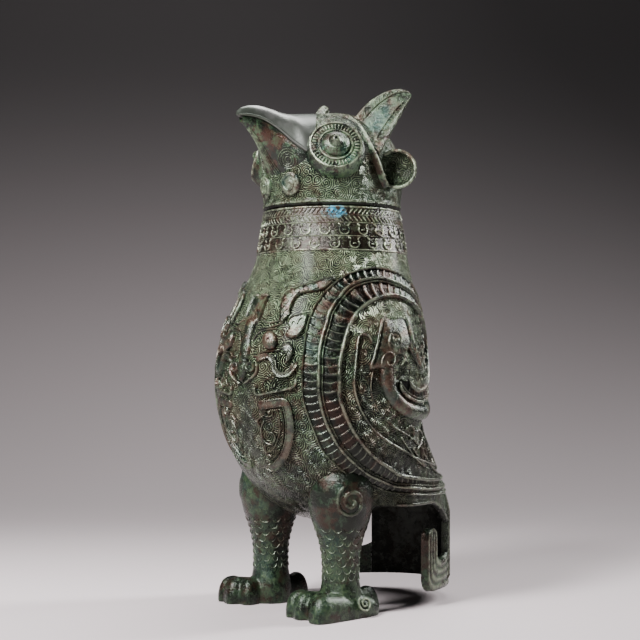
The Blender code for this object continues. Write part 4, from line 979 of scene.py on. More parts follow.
# Plain band round the lid's rim, and the shallow hollow behind each ear
BAND_TOP, BAND_PROUD = 313.5, 0.9
HOLLOW_TURN, HOLLOW_HEIGHT, HOLLOW_DEPTH = math.radians(99.0), 338.0, 3.0
HOLLOW_HALF_TURN, HOLLOW_HALF_HEIGHT = 0.34, 20.0

EYE_RING, EYE_BARS = 13.4, 40


def stations(table):
    """Bill stations filled in smoothly along its length."""
    return even_steps(smooth_knots(table, 12), 1.2)


LOWER_FINE = stations(LOWER_BILL)


def bill_section(forward):
    """Half width, mouth height and lowest height of the lower bill at a distance forward."""
    return [np.interp(forward, LOWER_FINE[:, 0], LOWER_FINE[:, k]) for k in (1, 2, 3)]


def lower_bill(forward, angle):
    """Points of the lower bill's skin, by the distance forward and the angle round its section."""
    forward, angle = np.broadcast_arrays(forward, angle)
    half, mouth, low = bill_section(forward)
    return np.stack([half * np.cos(angle), -forward, mouth - (mouth - low) * np.sin(angle)], -1)


def bill_land(points):
    """Landing on the lower bill."""
    forward = np.clip(-points[..., 1], BILL_BACK, BILL_FRONT)
    half, mouth, low = bill_section(forward)
    angle = np.arctan2((mouth - points[..., 2]) / (mouth - low), points[..., 0] / half)
    normal = np.cross(lower_bill(forward + 0.3, angle) - lower_bill(forward - 0.3, angle),
                      lower_bill(forward, angle + 0.02) - lower_bill(forward, angle - 0.02))
    return lower_bill(forward, angle), unit(normal)


def face_relief():
    """Brow edge behind the eye, comma curls on the cheeks, and lines on the bill's sides and chin."""
    relief = Casting()
    relief.ridge(traced(BROW_LINE, head_radius),
                 [(-0.8, -3.0), (-0.7, 1.4), (-0.3, 2.1), (0.2, 2.2), (1.0, 1.5), (2.2, 0.6), (4.5, -SUNK)],
                 head_land, ends=3.0, wear=0.8)
    cheek = seen((CHEEK_CURL,), head_radius)[0]
    relief.plate(circle_on(cheek, head_land, 9.2),
                 [(1.0, -SUNK), (0.97, 1.5), (0.88, 2.3), (0.7, 2.5), (0.4, 2.4), (0.0, 2.3)], head_land, 0.7)
    curl = spiral(cheek, head_land, 7.6, 1.3, 0.15, 0.6)
    relief.ridge(curl, bead(2.4, 0.9), lifted(head_land, 2.3), wear=0.7)
    curl = spiral(lower_bill(56.0, 0.62), bill_land, 8.5, 4.2, 0.08)
    relief.ridge(curl, bead(1.0, 0.6, 4), bill_land, wear=0.8)
    for k in (0.08, 0.2, 0.32):
        chin = lower_bill(np.linspace(40.0, 82.0, 40), math.pi / 2.0 - k)
        relief.ridge(chin, bead(1.4, 0.7, 4), bill_land, wear=0.5)
    relief.pair("face_relief", "head", EYE_SKIN, "dark_bronze")


def head_skin():
    """Hollow lid: crown, cheeks, plain rim, and the flange that enters the neck; and the lower bill."""
    turn = full_turn(216, -math.pi)
    r, z = head_outline(0.0, 60)
    inner_r, inner_z = head_outline(-HEAD_WALL, 40)
    keep = inner_z > FLANGE_TOP
    outline = [*zip(inner_r[keep], inner_z[keep])]
    outline += [(FLANGE_IN, FLANGE_TOP), (FLANGE_IN, FLANGE_FOOT + 0.5), (FLANGE_IN + 0.5, FLANGE_FOOT),
                (FLANGE_OUT - 0.5, FLANGE_FOOT), (FLANGE_OUT, FLANGE_FOOT + 0.5), (FLANGE_OUT, LID_REST),
                (MOUTH_RADIUS - LIP_ROUND, LID_REST), (MOUTH_RADIUS + 0.3, LID_REST + 0.7),
                (MOUTH_RADIUS + 0.8, LID_REST + 2.0)]
    rows = [at_turn(turn, a, b) for a, b in outline]
    # The inside and the flange are marked with -1 for near-black painted shade
    rub = [-1.0] * len(outline)
    for a, b in zip(r[::-1], z[::-1]):
        if b > LID_REST + 2.5:
            near = (((np.abs(turn) - HOLLOW_TURN) / HOLLOW_HALF_TURN) ** 2
                    + ((b - HOLLOW_HEIGHT) / HOLLOW_HALF_HEIGHT) ** 2)
            proud = BAND_PROUD * float(ease((BAND_TOP - b) / 1.2))
            rows.append(at_turn(turn, a + proud - HOLLOW_DEPTH * ease(1.5 - 1.5 * near), b))
            rub.append(0.7 * float(ease(BAND_TOP - 1.0 - b)))
    skin = Casting()
    skin.sheet(np.array(rows), np.array(rub)[:, None], close_columns=True)
    skin.make("head_skin", "head", HEAD_SKIN, "dark_bronze", "head_shell")
    chin = Casting()
    rows = [lower_bill(forward, np.linspace(math.pi, 0.0, 41)) for forward in np.linspace(36.0, 88.0, 45)]
    rows.append(np.broadcast_to(rows[-1].mean(0), rows[-1].shape))
    chin.sheet(np.array(rows), 0.0)
    chin.make("lower_bill", "head", CHIN_SKIN, "dark_bronze")


def upper_bill():
    """Smooth upper bill that runs back into the brow, with a bead along its lip."""
    beak = Casting()
    fine = stations(UPPER_BILL)
    a = np.linspace(0.0, math.pi, 49)
    rows = []
    for forward, half, mouth, top in fine:
        x = half * np.cos(a)
        ring = np.stack([x, np.full_like(x, -forward), mouth + (top - mouth) * np.sin(a)], 1)
        under = np.array([(-half * 0.9, -forward, mouth - 0.2), (half * 0.9, -forward, mouth - 0.2)])
        rows.append(np.vstack([ring, under]))
    beak.sheet(capped(rows), 0.0, close_columns=True)
    lip = fine[fine[:, 0] > LIP_BACK]
    size = 1.1 * np.clip((lip[:, 0] - LIP_BACK) / 10.0, 0.1, 1.0)
    size = (size * np.clip((LIP_FRONT - lip[:, 0]) / 6.0, 0.3, 1.0))[:, None]
    a = full_turn(8)
    for side in (1.0, -1.0):
        path = np.stack([lip[:, 1] * side, -lip[:, 0], lip[:, 2] + 0.6], 1)
        run = unit(np.gradient(path, axis=0))
        out = unit(np.cross(run, (0.0, 0.0, 1.0)))
        up = np.cross(out, run)
        grid = (path[:, None] + out[:, None] * (size * np.cos(a))[..., None]
                + up[:, None] * (size * np.sin(a))[..., None])
        beak.sheet(grid[:, ::-1], 0.6, close_columns=True)
    beak.make("upper_bill", "head", BILL, "worn_bronze", "upper_beak")


def eyes():
    """Round eye plates with a ring of short bars on a soft mound, and domed pupils with a pierced nipple."""
    out = at_turn(EYE_TURN, math.cos(EYE_TILT), math.sin(EYE_TILT))
    centre = at_turn(EYE_TURN, float(head_radius(0.0, EYE_HEIGHT)), EYE_HEIGHT) + out * EYE_STAND_OFF
    plate = Casting()
    rim = EYE_RADIUS - 0.4
    outline = [(23.0, -9.0), (22.8, -6.0), (22.2, -3.2), (21.4, -1.2), (20.6, 0.2), (EYE_RADIUS + 0.6, 1.2),
               (EYE_RADIUS + 0.5, EYE_RIM), (rim - 0.2, EYE_RIM + 0.3), (rim - 0.8, EYE_RIM - 0.7),
               (EYE_RING + 0.3, EYE_RIM - 0.5), (EYE_RING - 0.3, EYE_RIM + 0.5),
               (EYE_RING - 1.2, EYE_RIM + 0.6), (EYE_RING - 1.8, EYE_RIM - 0.2),
               (BOSS_RADIUS - 0.5, EYE_RIM - 0.2), (2.0, EYE_RIM), (0.01, EYE_RIM)]
    rub = [0, 0, 0, 0.1, 0.2, 0.5, 0.9, 0.9, 0, 0, 0.5, 0.5, 0, 0, 0, 0]
    plate.round_piece(outline, centre, out, 96, rub)
    face = flat_skin(centre + out * (EYE_RIM - 0.7), out)
    base, level, up = frame_on(centre, face)
    for a in full_turn(EYE_BARS):
        spoke = math.cos(a) * level + math.sin(a) * up
        line = base + np.linspace(EYE_RING + 0.5, rim - 0.7, 7)[:, None] * spoke
        plate.ridge(line, bead(1.6, 1.1), face, ends=0.9, wear=0.9)
    plate.pair("eye_plate", "head", EYE_SKIN, "worn_bronze", "eye_disc")

    boss = Casting()
    base = EYE_RIM + 0.3
    top = base + BOSS_HEIGHT
    outline = [(2.0, base - 1.0), (BOSS_RADIUS, base - 0.6), (BOSS_RADIUS, base + 0.4),
               (BOSS_RADIUS - 0.6, base + 1.8), (BOSS_RADIUS * 0.84, base + 3.0),
               (BOSS_RADIUS * 0.64, base + 4.3), (5.6, base + 4.9), (5.2, base + 4.7), (4.9, base + 5.0),
               (4.4, base + 5.9), (3.4, top + 0.6), (2.6, top + 1.6), (1.7, top + 2.2), (1.1, top + 2.1),
               (0.9, top + 1.0), (0.5, top - 0.4), (0.01, top - 0.5)]
    rub = [0, 0, 0.1, 0.1, 0.1, 0.2, 0.5, 0, 0.2, 0.3, 0.4, 0.6, 0.8, 0.5, 0, 0, 0]
    boss.round_piece(outline, centre, out, 64, rub)
    boss.pair("eye_pupil", "head", PUPIL, "green_bronze", "eye_boss")


def shared_out(path, marks):
    """Points of a flat line at shares of its length."""
    path = even_steps(path, 1.0)
    return np.stack([np.interp(marks, np.linspace(0.0, 1.0, len(path)), path[:, k]) for k in (0, 1)], 1)


def horns():
    """Pointed crest blades with a ladder of hatched cells along each edge."""
    inner, outer, tip = (np.array(p) for p in (HORN_INNER, HORN_OUTER, HORN_TIP))
    along = unit(outer - inner)
    up = unit((tip - inner) - along * ((tip - inner) @ along))
    face = unit(np.cross(along, up))
    wide = np.linalg.norm(outer - inner)
    tip_along, tip_up = (tip - inner) @ along, (tip - inner) @ up
    t = np.linspace(0.0, 1.0, 26)
    front = np.stack([curve(0.0, -HORN_BULGE, -HORN_BULGE * 0.6, tip_along, t),
                      curve(0.0, tip_up * 0.45, tip_up * 0.98, tip_up, t)], 1)
    back = [(tip_along + 2.0, tip_up - 1.5), (wide * 0.62, tip_up * 0.42), (wide, -HORN_ROOT)]
    marks = np.linspace(0.0, 1.0, 60)
    left = shared_out(np.vstack([[(0.0, -HORN_ROOT)], front]), marks)
    right = shared_out(smooth_knots(back, 12)[::-1], marks)
    cells = np.array([(0.0, -0.6), (0.03, 0.5), (0.08, 0.7), (0.11, 0.1), (0.3, 0.2), (0.5, 0.3), (0.7, 0.2),
                      (0.89, 0.1), (0.92, 0.7), (0.97, 0.5), (1.0, -0.6)])

    def place(share, s, lift):
        flat = left + (right - left) * share
        thick = (HORN_HALF + lift) * (1.0 - 0.7 * marks[:, None] ** 4)
        return inner + along * flat[:, :1] + up * flat[:, 1:] + face * s * thick

    blade = Casting()
    faces = [place(a, 1.0, b) for a, b in cells] + [place(a, -1.0, b) for a, b in cells[::-1]]
    grid = np.array(faces).transpose(1, 0, 2)
    rub = np.array([0.5, 0.8, 0.5, 0, 0, 0, 0, 0, 0.5, 0.8, 0.5])
    blade.sheet(capped(grid)[:, ::-1], np.concatenate([rub, rub])[None, ::-1], close_columns=True)
    for s in (1.0, -1.0):
        land = flat_skin(inner + face * (s * (HORN_HALF + 0.1)), face * s)
        for edge, share, first, last in ((0.09, 0.24, 10, 56), (0.91, 0.78, 6, 50)):
            near, far = place(edge, s, 0.0), place(share, s, 0.0)
            blade.ridge(far[first:last], bead(1.1, 1.0, 4), land)
            for k in range(first, last, 4):
                rung = near[k] + (far[max(0, k - 2)] - near[k]) * np.linspace(0.0, 1.0, 5)[:, None]
                blade.ridge(rung, bead(1.2, 1.0, 4), land, ends=0.0)
    blade.pair("horn_blade", "head", HORN_SKIN, "green_bronze", "horn", sharp=40.0)


def ears():
    """Cupped ears, open to the front, with rings inside the cup."""
    a = np.linspace(0.0, math.pi / 2.0, 28)
    outer = np.stack([EAR_RADIUS * np.sin(a), -EAR_DEPTH * np.cos(a)], 1)
    floor = EAR_DEPTH - EAR_WALL + 0.35 * np.cos(13.0 * a)
    hollow = np.stack([(EAR_RADIUS - EAR_WALL) * np.sin(a), -floor * np.cos(a)], 1)
    outer[0, 0] = hollow[0, 0] = 0.01
    rim = [(EAR_RADIUS - 0.2, 0.8), (EAR_RADIUS - 0.9, 1.1), (EAR_RADIUS - 1.8, 0.9)]
    rub = np.concatenate([np.zeros(26), [0.3, 0.6], [1.0, 1.0, 0.8], [0.3], np.zeros(27)])
    centre = np.array(EAR_CENTRE) + EAR_STAND_OFF * unit(np.array(EAR_AXIS))
    ear = Casting()
    ear.round_piece(np.vstack([outer, rim, hollow[::-1]]), centre, EAR_AXIS, 72, rub)
    ear.pair("ear_cup", "head", HEAD_SKIN, "dark_bronze", "ear")


vessel_skin()
tail_skin()
legs()
tail_hooks()
head_skin()
face_relief()
upper_bill()
eyes()
horns()
ears()


# Ornament on the vessel

# The breast's middle line stands this many degrees to the bird's left of the bill
BREAST_MIDDLE = 5.0

# Turns in degrees of the two rope lines down the tail wall
ROPE_TURNS = (153.4, 159.0)

# Collar lines as (height, width, lift), hatched rows as (low, high, lean), and rows of ring marks
COLLAR_LINES = ((306.8, 2.0, 0.9), (300.9, 0.8, 0.5), (295.0, 1.0, 0.7), (284.9, 1.0, 0.7), (274.4, 1.6, 0.9))
COLLAR_HATCHING = ((301.4, 305.8, 0.07), (295.6, 300.4, -0.07))
MARK_HEIGHTS = (289.8, 279.6)
HATCHES_ROUND, MARKS_ROUND, MARK_SIZE = 96, 24, 1.12

# Lines of the wing as (turn in degrees, height): outer edge, ridge between the bands, inner edge and vane
WING_EDGE = ((178, 88), (160, 87), (137, 87), (113, 90), (94, 94), (83, 98), (67, 104), (58, 110), (50, 119),
             (45, 128), (42, 140), (39, 153), (37, 167), (37, 190), (38, 214), (40, 226), (44, 237),
             (50, 246), (59, 254), (68, 258), (80, 260.5), (91, 259.5), (103, 256), (116, 249), (127, 238),
             (136, 222), (142, 203), (144, 185), (142, 170))
WING_RIDGE = ((178, 93), (160, 92), (140, 92), (121, 94), (100, 98), (88, 102), (73, 109), (62, 119),
              (55, 129), (50, 141), (47, 153), (45, 168), (45, 185), (45, 196), (46, 206), (48, 217),
              (50, 227), (55, 237), (61, 245), (69, 249.5), (80, 252), (89, 251), (100, 247.5), (111, 242),
              (121, 233), (130, 219), (134, 203), (132, 187), (125, 174), (113, 165), (101, 162),
              (92, 165), (87, 171), (86, 177))
WING_LINING = ((178, 99), (160, 98), (142, 98), (123, 100), (101, 105), (90, 110.5), (78, 118), (70, 126),
               (64, 135), (59, 146), (56, 156), (54, 166), (54, 175), (54, 186), (55, 196), (57, 207),
               (59.5, 217), (64, 226), (70, 232.5), (79, 238), (89, 240), (100, 237.5), (111, 231),
               (119, 221), (123, 208), (122, 194), (116, 180), (108, 172.5), (99, 169.5),
               (94, 172), (92, 177))
WING_VANE = ((71, 204), (69.5, 209), (66, 210.5), (63.5, 207), (62, 192), (61, 176), (62, 166), (65, 155),
             (70, 145), (76, 137), (85, 130), (103, 121), (122, 114), (145, 109))
VANE_LINING = ((74, 196), (71, 186), (69.5, 176), (70, 166), (73.5, 156), (79, 148), (87, 141), (103, 132),
               (122, 124), (145, 118))
WING_COIL = ((138, 172), (130, 160), (119, 154.5), (107, 152.5), (96, 153.5), (87.5, 158), (81.5, 165.5),
             (78.5, 175), (78, 186), (79.5, 196), (83, 204))
CELL_PITCH = 5.9

# Scales in the coil: first turn and spacing in degrees, top height and drop of a row
WING_SCALE_TURN, WING_SCALE_SPACING, WING_SCALE_TOP, WING_SCALE_DROP = 99.0, 4.6, 228.0, 8.0

# Small spirals of the wing as (turn in degrees, height, radius)
WING_SPIRALS = ((73.0, 219.0, 5.0), (66.0, 197.0, 3.4), (65.5, 184.0, 3.2), (65.5, 171.0, 3.2),
                (86.0, 154.0, 4.2))

# Ruff of short lines below the coil, as places in the photograph's frame
WING_RUFF = (((405, 430), (409, 425.5), (413, 429), (412, 436), (408, 440)),
             ((414, 432), (418, 429.5), (421, 436), (419, 444), (415, 450)),
             ((424, 426), (427, 438), (431, 449), (436, 460), (441, 470)),
             ((420, 446), (424, 456), (430, 466), (436, 473)), ((412, 448), (418, 458), (426, 468)),
             ((400, 436), (406, 446), (414, 457), (421, 465)))

# Beast head in the coil, as places in the wing's enlargement; its lines start with their width
BEAST_OUTLINE = ((300, 722), (330, 712), (365, 722), (400, 712), (432, 716), (458, 780), (470, 850),
                 (452, 905), (415, 950), (375, 1004), (330, 1020), (285, 1012), (226, 1018), (252, 940),
                 (276, 850))
BEAST_EYE = (372, 852)
BEAST_LINES = ((2.4, (300, 730), (284, 800), (270, 870), (252, 940), (228, 1014)),
               (2.6, (432, 722), (452, 790), (468, 850), (486, 920), (512, 1000)),
               (1.3, (285, 1005), (300, 950), (335, 925), (365, 945), (362, 985), (335, 998), (322, 975)),
               (1.2, (380, 930), (410, 935), (425, 965), (400, 1000)),
               (1.0, (345, 905), (330, 880), (335, 830)))
BEAST_HORNS = (((470, 880), (510, 960), (540, 1010)), ((455, 830), (475, 862), (500, 850)))
BEAST_RISE = 4.6

# Height where the mask's shield becomes its nose, and the length of that change
NOSE_TOP, NOSE_BLEND = 226.0, 8.0

# Shield and nostril of the breast mask, as places in the photograph's frame
SHIELD_EDGE = ((271, 294.5), (266, 306), (262, 317), (256.5, 325), (253, 335), (251, 349), (248.5, 360),
               (247, 372), (243.5, 383))
NOSTRIL_RING = (251.5, 367.0, 4.4, 5.6)
NOSTRIL_EDGE = ((257, 362), (258, 368), (256, 374), (251, 379), (244, 384))

# Rest of the mask, as places in the breast's enlargement; plain lines start with their width and lift
MASK_BROWS = ((1.6, 1.7, (204, 744), (240, 768), (290, 762), (330, 748), (352, 732)),
              (1.5, 1.6, (186, 812), (230, 798), (284, 788), (326, 770), (346, 752)),
              (1.5, 1.5, (150, 880), (172, 844), (208, 816), (264, 806), (314, 810), (334, 850)),
              (1.5, 1.5, (150, 964), (176, 972), (208, 946), (258, 938), (308, 932), (334, 900)))
MASK_EYE = (257, 876, 44, 56)
MASK_EAR = ((479, 714), (432, 721), (386, 735), (361, 770), (373, 806), (348, 842), (376, 864), (421, 852),
            (456, 812), (473, 764))
MASK_EAR_VEIN = ((384, 792), (398, 766), (420, 780), (436, 752), (456, 744))
MASK_LEAF = ((328, 906), (350, 888), (380, 892), (397, 922), (392, 958), (374, 992), (350, 1016), (350, 986),
             (360, 962), (340, 948), (327, 930))
JAW_HOOK = ((174, 1000), (210, 974), (256, 972), (280, 1002), (288, 1050), (318, 1080), (362, 1072),
            (394, 1036), (412, 1000))
JAW_LIP = ((164, 1146), (178, 1196), (250, 1186), (330, 1170), (400, 1148), (410, 1102))
JAW_CURLS = ((1.0, 1.2, (205, 1150), (225, 1110), (262, 1100), (290, 1130), (270, 1158), (245, 1146)),
             (1.0, 1.2, (320, 1140), (340, 1112), (372, 1108)))
MASK_HORN_TOP = ((318, 770), (320, 704), (330, 642), (356, 596), (402, 566), (462, 548), (522, 530),
                 (582, 508), (642, 493))
MASK_HORN_UNDER = ((372, 716), (374, 690), (386, 655), (411, 613), (456, 586), (511, 578), (571, 563),
                   (613, 530), (642, 493))
MASK_HORN_SPOTS = ((343, 735), (345, 690), (352, 645), (378, 606), (420, 580), (470, 566), (530, 552))

# Panel under the mask, as places in the whole view; plain lines start with their width and lift
PANEL_BAND = ((205, 946), (250, 940), (284, 938), (296, 968), (301, 1015), (296, 1062), (278, 1105),
              (250, 1130), (232, 1122))
PANEL_LINES = ((1.0, 1.2, (216, 966), (255, 960), (272, 960), (280, 985), (283, 1020), (277, 1062),
                (262, 1092), (244, 1108)),
               (1.7, 1.5, (224, 990), (214, 1020), (225, 1052), (246, 1062), (257, 1042), (246, 1026),
                (236, 1036)),
               (1.5, 1.4, (222, 975), (205, 990), (211, 1008)),
               (1.3, 1.2, (261, 955), (269, 985), (271, 1020), (263, 1050), (250, 1078), (228, 1088)),
               (1.2, 1.1, (226, 1056), (230, 1086), (250, 1100)))
PANEL_EYE = (238, 966)

# Rows of back feathers as (height, length, turns in degrees), and half a feather's width
FEATHER_ROWS = ((111.0, 34.0, (122.0, 136.0, 150.0, 165.0, 180.0)), (162.0, 26.0, (146.0, 158.0, 170.0)),
                (192.0, 26.0, (150.0, 162.0, 174.0)), (222.0, 26.0, (152.0, 164.0, 176.0)))
FEATHER_HALF = 4.3


def enlarged(left, top, zoom):
    """Places read from an enlargement of part of the photograph."""
    def places(*points):
        return np.array([(left + x / zoom, top + y / zoom) for x, y in points])
    return places


breast_view = enlarged(228.0, 195.0, 6.0)
wing_view = enlarged(330.0, 200.0, 6.0)
whole_view = enlarged(190.0, 90.0, 3.0)


def spot(view, place):
    """Point of the hull at one place of an enlargement."""
    return seen(view(place), hull_radius)[0]


def round_places(x, y, wide, tall):
    """Places round an oval."""
    a = full_turn(24)
    return np.stack([x + wide * np.cos(a), y + tall * np.sin(a)], 1)


def draw(cast, view, lines):
    """Raised lines on the hull, each given as its width, its lift and places of an enlargement."""
    for width, lift, *places in lines:
        cast.ridge(traced(view(*places), step=0.9), bead(width, lift), body_land, ends=1.5, wear=0.9)


def nearest(path, others):
    """For each point of a line, the closest point of another line."""
    apart = np.linalg.norm(path[:, None, :] - others[None, :, :], axis=2)
    return others[apart.argmin(1)]


def floor_between(first, second, columns):
    """Shares across the ground between two lines, with its skin points and outward directions."""
    shares = np.linspace(0.0, 1.0, columns)
    far = nearest(first, second)
    across = shares[None, :, None]
    return shares, *body_land(first[:, None] * (1.0 - across) + far[:, None] * across)


def tail_border():
    """Plain edge under the skirt, and rope-hatched lines down the tail wall's front corners."""
    border = Casting()
    turn = np.linspace(math.radians(104.0), WALL_TURN, 90)
    border.ridge(on_hull(turn, arch_height(turn) + 1.8), slab(2.6, 0.9), body_land, ends=3.0, wear=0.6)
    first, last = ROPE_TURNS
    for side in ROPE_TURNS:
        rope = turned_path(((side, 86.0), (side, 62.0), (side, 38.0), (side, 16.0)))
        border.ridge(rope, bead(1.7, 1.2), body_land)
    for height in np.arange(18.0, 84.0, 2.4):
        strand = turned_path(((first, height), (0.5 * (first + last), height - 0.6), (last, height - 0.4)))
        border.ridge(strand, bead(1.2, 0.9, 4), body_land, ends=0.0, wear=0.7)
    border.pair("tail_border", "vessel", RELIEF, "dark_bronze")


def ring_mark(collar, turn, height):
    """Small mark on the collar: an open ring with two horns and a bar."""
    base, level, up = frame_on(on_hull(turn, height), body_land)
    b = np.radians(np.linspace(140.0, 400.0, 14))
    lines = [np.stack([3.3 * np.cos(b), 3.0 * np.sin(b) - 0.4], 1)]
    lines += [[(side * 2.4, 1.8), (side * 2.9, 3.2), (side * 4.3, 3.9)] for side in (-1.0, 1.0)]
    lines.append([(-1.5, -0.6), (0.0, -0.2), (1.5, -0.6)])
    for line in lines:
        line = np.asarray(line, float) * MARK_SIZE
        path = smooth_knots(base + line[:, :1] * level + line[:, 1:] * up, 6)
        collar.ridge(even_steps(path, 0.6), bead(1.5, 1.0, 5), body_land, ends=0.9)


def neck_collar():
    """Collar under the mouth: lines, two rows of hatching, and two rows of small ring marks."""
    collar = Casting()
    turn = full_turn(240, -math.pi)
    for height, width, lift in COLLAR_LINES:
        collar.ridge(on_hull(turn, height), bead(width, lift), body_land, closed=True, wear=0.8)
    for a in full_turn(HATCHES_ROUND):
        for low, high, lean in COLLAR_HATCHING:
            height = np.linspace(low, high, 6)
            hatch = on_hull(a + lean * (height - low) / (high - low), height)
            collar.ridge(hatch, bead(1.15, 0.7, 4), body_land, ends=0.9, wear=0.8)
    for row, height in enumerate(MARK_HEIGHTS):
        for a in full_turn(MARKS_ROUND, math.pi * row / MARKS_ROUND):
            ring_mark(collar, a, height)
    collar.make("neck_collar", "vessel", COLLAR, "dark_bronze")


def cell_band(cast, inner, outer):
    """Floor between two ridges, cut into scale cells by thin curved lines, closest near the start; the cell
    floors away from the lines get painted shade.
    """
    shares, skin, away = floor_between(inner, outer, 9)
    step = np.linalg.norm(np.diff(inner, axis=0), axis=1)
    run = np.concatenate([[0.0], np.cumsum(step)])
    size = CELL_PITCH * (0.4 + 0.6 * ease((run - 85.0) / 40.0))
    cells = np.concatenate([[0.0], np.cumsum(step / size[1:])])
    phase = cells[:, None] + 1.5 * np.sin(math.pi * shares) / size[:, None]
    apart = (phase - np.floor(phase) - 0.5) * size[:, None]
    line = np.exp(-(apart / 0.5) ** 2)
    lift = 0.4 + 0.3 * np.sin(math.pi * shares) + 0.75 * line
    # Cell floors between the lines get painted shade through values below 0
    cast.sheet((skin + away * lift[..., None])[:, ::-1], (1.55 * line - 0.65)[:, ::-1])


def wing_bands():
    """Two spiral bands of scale cells between raised lines."""
    band = Casting()
    edge, ridge, lining = (turned_path(line, step=0.42) for line in (WING_EDGE, WING_RIDGE, WING_LINING))
    cell_band(band, edge, ridge)
    cell_band(band, lining, ridge)
    band.ridge(edge, bead(2.0, 2.3), body_land, ends=6.0)
    section = [(-2.5, -SUNK), (-2.3, 1.5), (-1.6, 2.6), (-0.6, 2.9), (0.2, 2.4), (0.6, 0.7), (1.0, 0.6),
               (1.3, 1.8), (1.9, 2.2), (2.4, 1.7), (2.6, -SUNK)]
    band.ridge(ridge, section, body_land, ends=6.0)
    section = [(-1.9, -SUNK), (-1.7, 1.6), (-1.0, 2.9), (0.0, 3.3), (1.0, 3.0), (1.6, 2.0), (1.8, -SUNK)]
    band.ridge(lining, section, body_land, ends=6.0)
    band.pair("wing_bands", "vessel", RELIEF, "worn_bronze", "wing_band")


def wing_scrolls():
    """Coil in the wing, the vane from it to the tail, a ruff of short lines, small spirals and scales."""
    coil = Casting()
    coil.ridge(turned_path(WING_COIL), bead(12.0, 5.0, 10), body_land, ends=9.0, wear=0.3)
    coil.ridge(turned_path(WING_VANE, step=1.2), bead(2.8, 2.4), body_land, ends=4.0)
    for line in WING_RUFF:
        coil.ridge(traced(line, step=0.9), bead(1.9, 1.8), body_land)
    coil.ridge(turned_path(VANE_LINING, step=1.2), bead(1.5, 1.3), body_land, ends=6.0)
    for turn, height, radius in WING_SPIRALS:
        curl = spiral(on_hull(math.radians(turn), height), body_land, radius, 3.0, 0.1)
        coil.ridge(curl, bead(0.8, 0.55, 4), body_land, ends=1.0)
    t = np.linspace(0.0, math.pi, 8)
    for row in range(7):
        height = WING_SCALE_TOP - WING_SCALE_DROP * row
        first = WING_SCALE_TURN + (2.0 if row < 3 else 0.0)
        for k in range(5):
            turn = first + WING_SCALE_SPACING * (k + 0.5 * (row % 2))
            knots = np.stack([turn - 2.1 * np.cos(t), height + 2.2 - 5.0 * np.sin(t)], 1)
            coil.ridge(turned_path(knots, step=0.9), bead(0.9, 0.7, 4), body_land, ends=1.0)
    coil.pair("wing_scrolls", "vessel", RELIEF, "dark_bronze", "wing_coil")


def wing_beast():
    """Small beast head in the wing coil, with a ringed eye and curls."""
    beast = Casting()
    beast.plate(traced(wing_view(*BEAST_OUTLINE), step=0.8, closed=True),
                [(1.0, -SUNK), (0.99, 2.2), (0.94, 3.6), (0.84, 4.5), (0.6, 5.0), (0.3, 5.4), (0.0, 5.5)],
                body_land, 0.5)
    raised = lifted(body_land, BEAST_RISE)
    eye = spot(wing_view, BEAST_EYE)
    beast.ridge(circle_on(eye, body_land, 5.2), bead(1.1, 1.3), raised, closed=True)
    beast.ridge(circle_on(eye, body_land, 2.6), bead(1.1, 1.5), raised, closed=True)
    beast.plate(circle_on(eye, body_land, 1.5), [(1.0, 0.2), (0.8, 1.5), (0.4, 2.0), (0.0, 2.1)], raised)
    for width, *line in BEAST_LINES:
        beast.ridge(traced(wing_view(*line), step=0.8), bead(width, 1.3), raised)
    for line in BEAST_HORNS:
        beast.ridge(traced(wing_view(*line), step=0.9), bead(1.6, 1.6), body_land)
    beast.pair("wing_beast", "vessel", RELIEF, "green_bronze", "coil_head")


def mask_shield(mask):
    """Brow shield that narrows into the nose, with its top bar, forehead lines and nostril."""
    edge = turn_and_height(traced(SHIELD_EDGE))
    height = np.linspace(edge[-1, 1], edge[0, 1], 60)
    reach = np.maximum(np.interp(height, edge[::-1, 1], edge[::-1, 0]) - BREAST_MIDDLE, 0.4)
    share = np.array([0.0, 0.3, 0.6, 0.78, 0.9, 1.0])
    nose = ease((NOSE_TOP - height) / NOSE_BLEND)[:, None]
    rise = (np.array([2.9, 2.8, 2.4, 1.9, 1.2, -0.3]) * nose
            + np.array([1.5, 1.5, 1.5, 1.9, 2.4, -0.3]) * (1.0 - nose))
    skin, away = body_land(on_hull(np.radians(BREAST_MIDDLE + reach[:, None] * share), height[:, None]))
    ends = np.clip(np.minimum(height - height[0], height[-1] - height) / 1.5, 0.0, 1.0)
    lift = ends[:, None] * (rise + 0.3) - 0.3
    mask.sheet(skin + away * lift[..., None], np.array([0.3, 0.2, 0.1, 0.3, 0.6, 0.0])[None])
    top, middle = edge[0, 1] - 1.2, BREAST_MIDDLE
    bar = turned_path(((middle, top), (middle + 0.5 * reach[-1], top), (middle + reach[-1], top)), step=0.9)
    mask.ridge(bar, slab(2.4, 2.8), body_land)
    for low in (top - 6.0, top - 11.0, top - 16.0):
        line = turned_path(((middle, low), (middle + 2.2, low - 4.0), (middle + 3.4, low - 9.0)), step=0.9)
        mask.ridge(line, bead(1.1, 2.3), body_land, wear=0.6)
    mask.plate(traced(round_places(*NOSTRIL_RING), step=0.8, closed=True),
               [(1.0, -SUNK), (0.95, 2.2), (0.78, 2.9), (0.6, 2.3), (0.45, 0.9), (0.0, 0.6)], body_land, 0.5)
    mask.ridge(traced(NOSTRIL_EDGE, step=0.9), bead(2.4, 2.4), body_land)


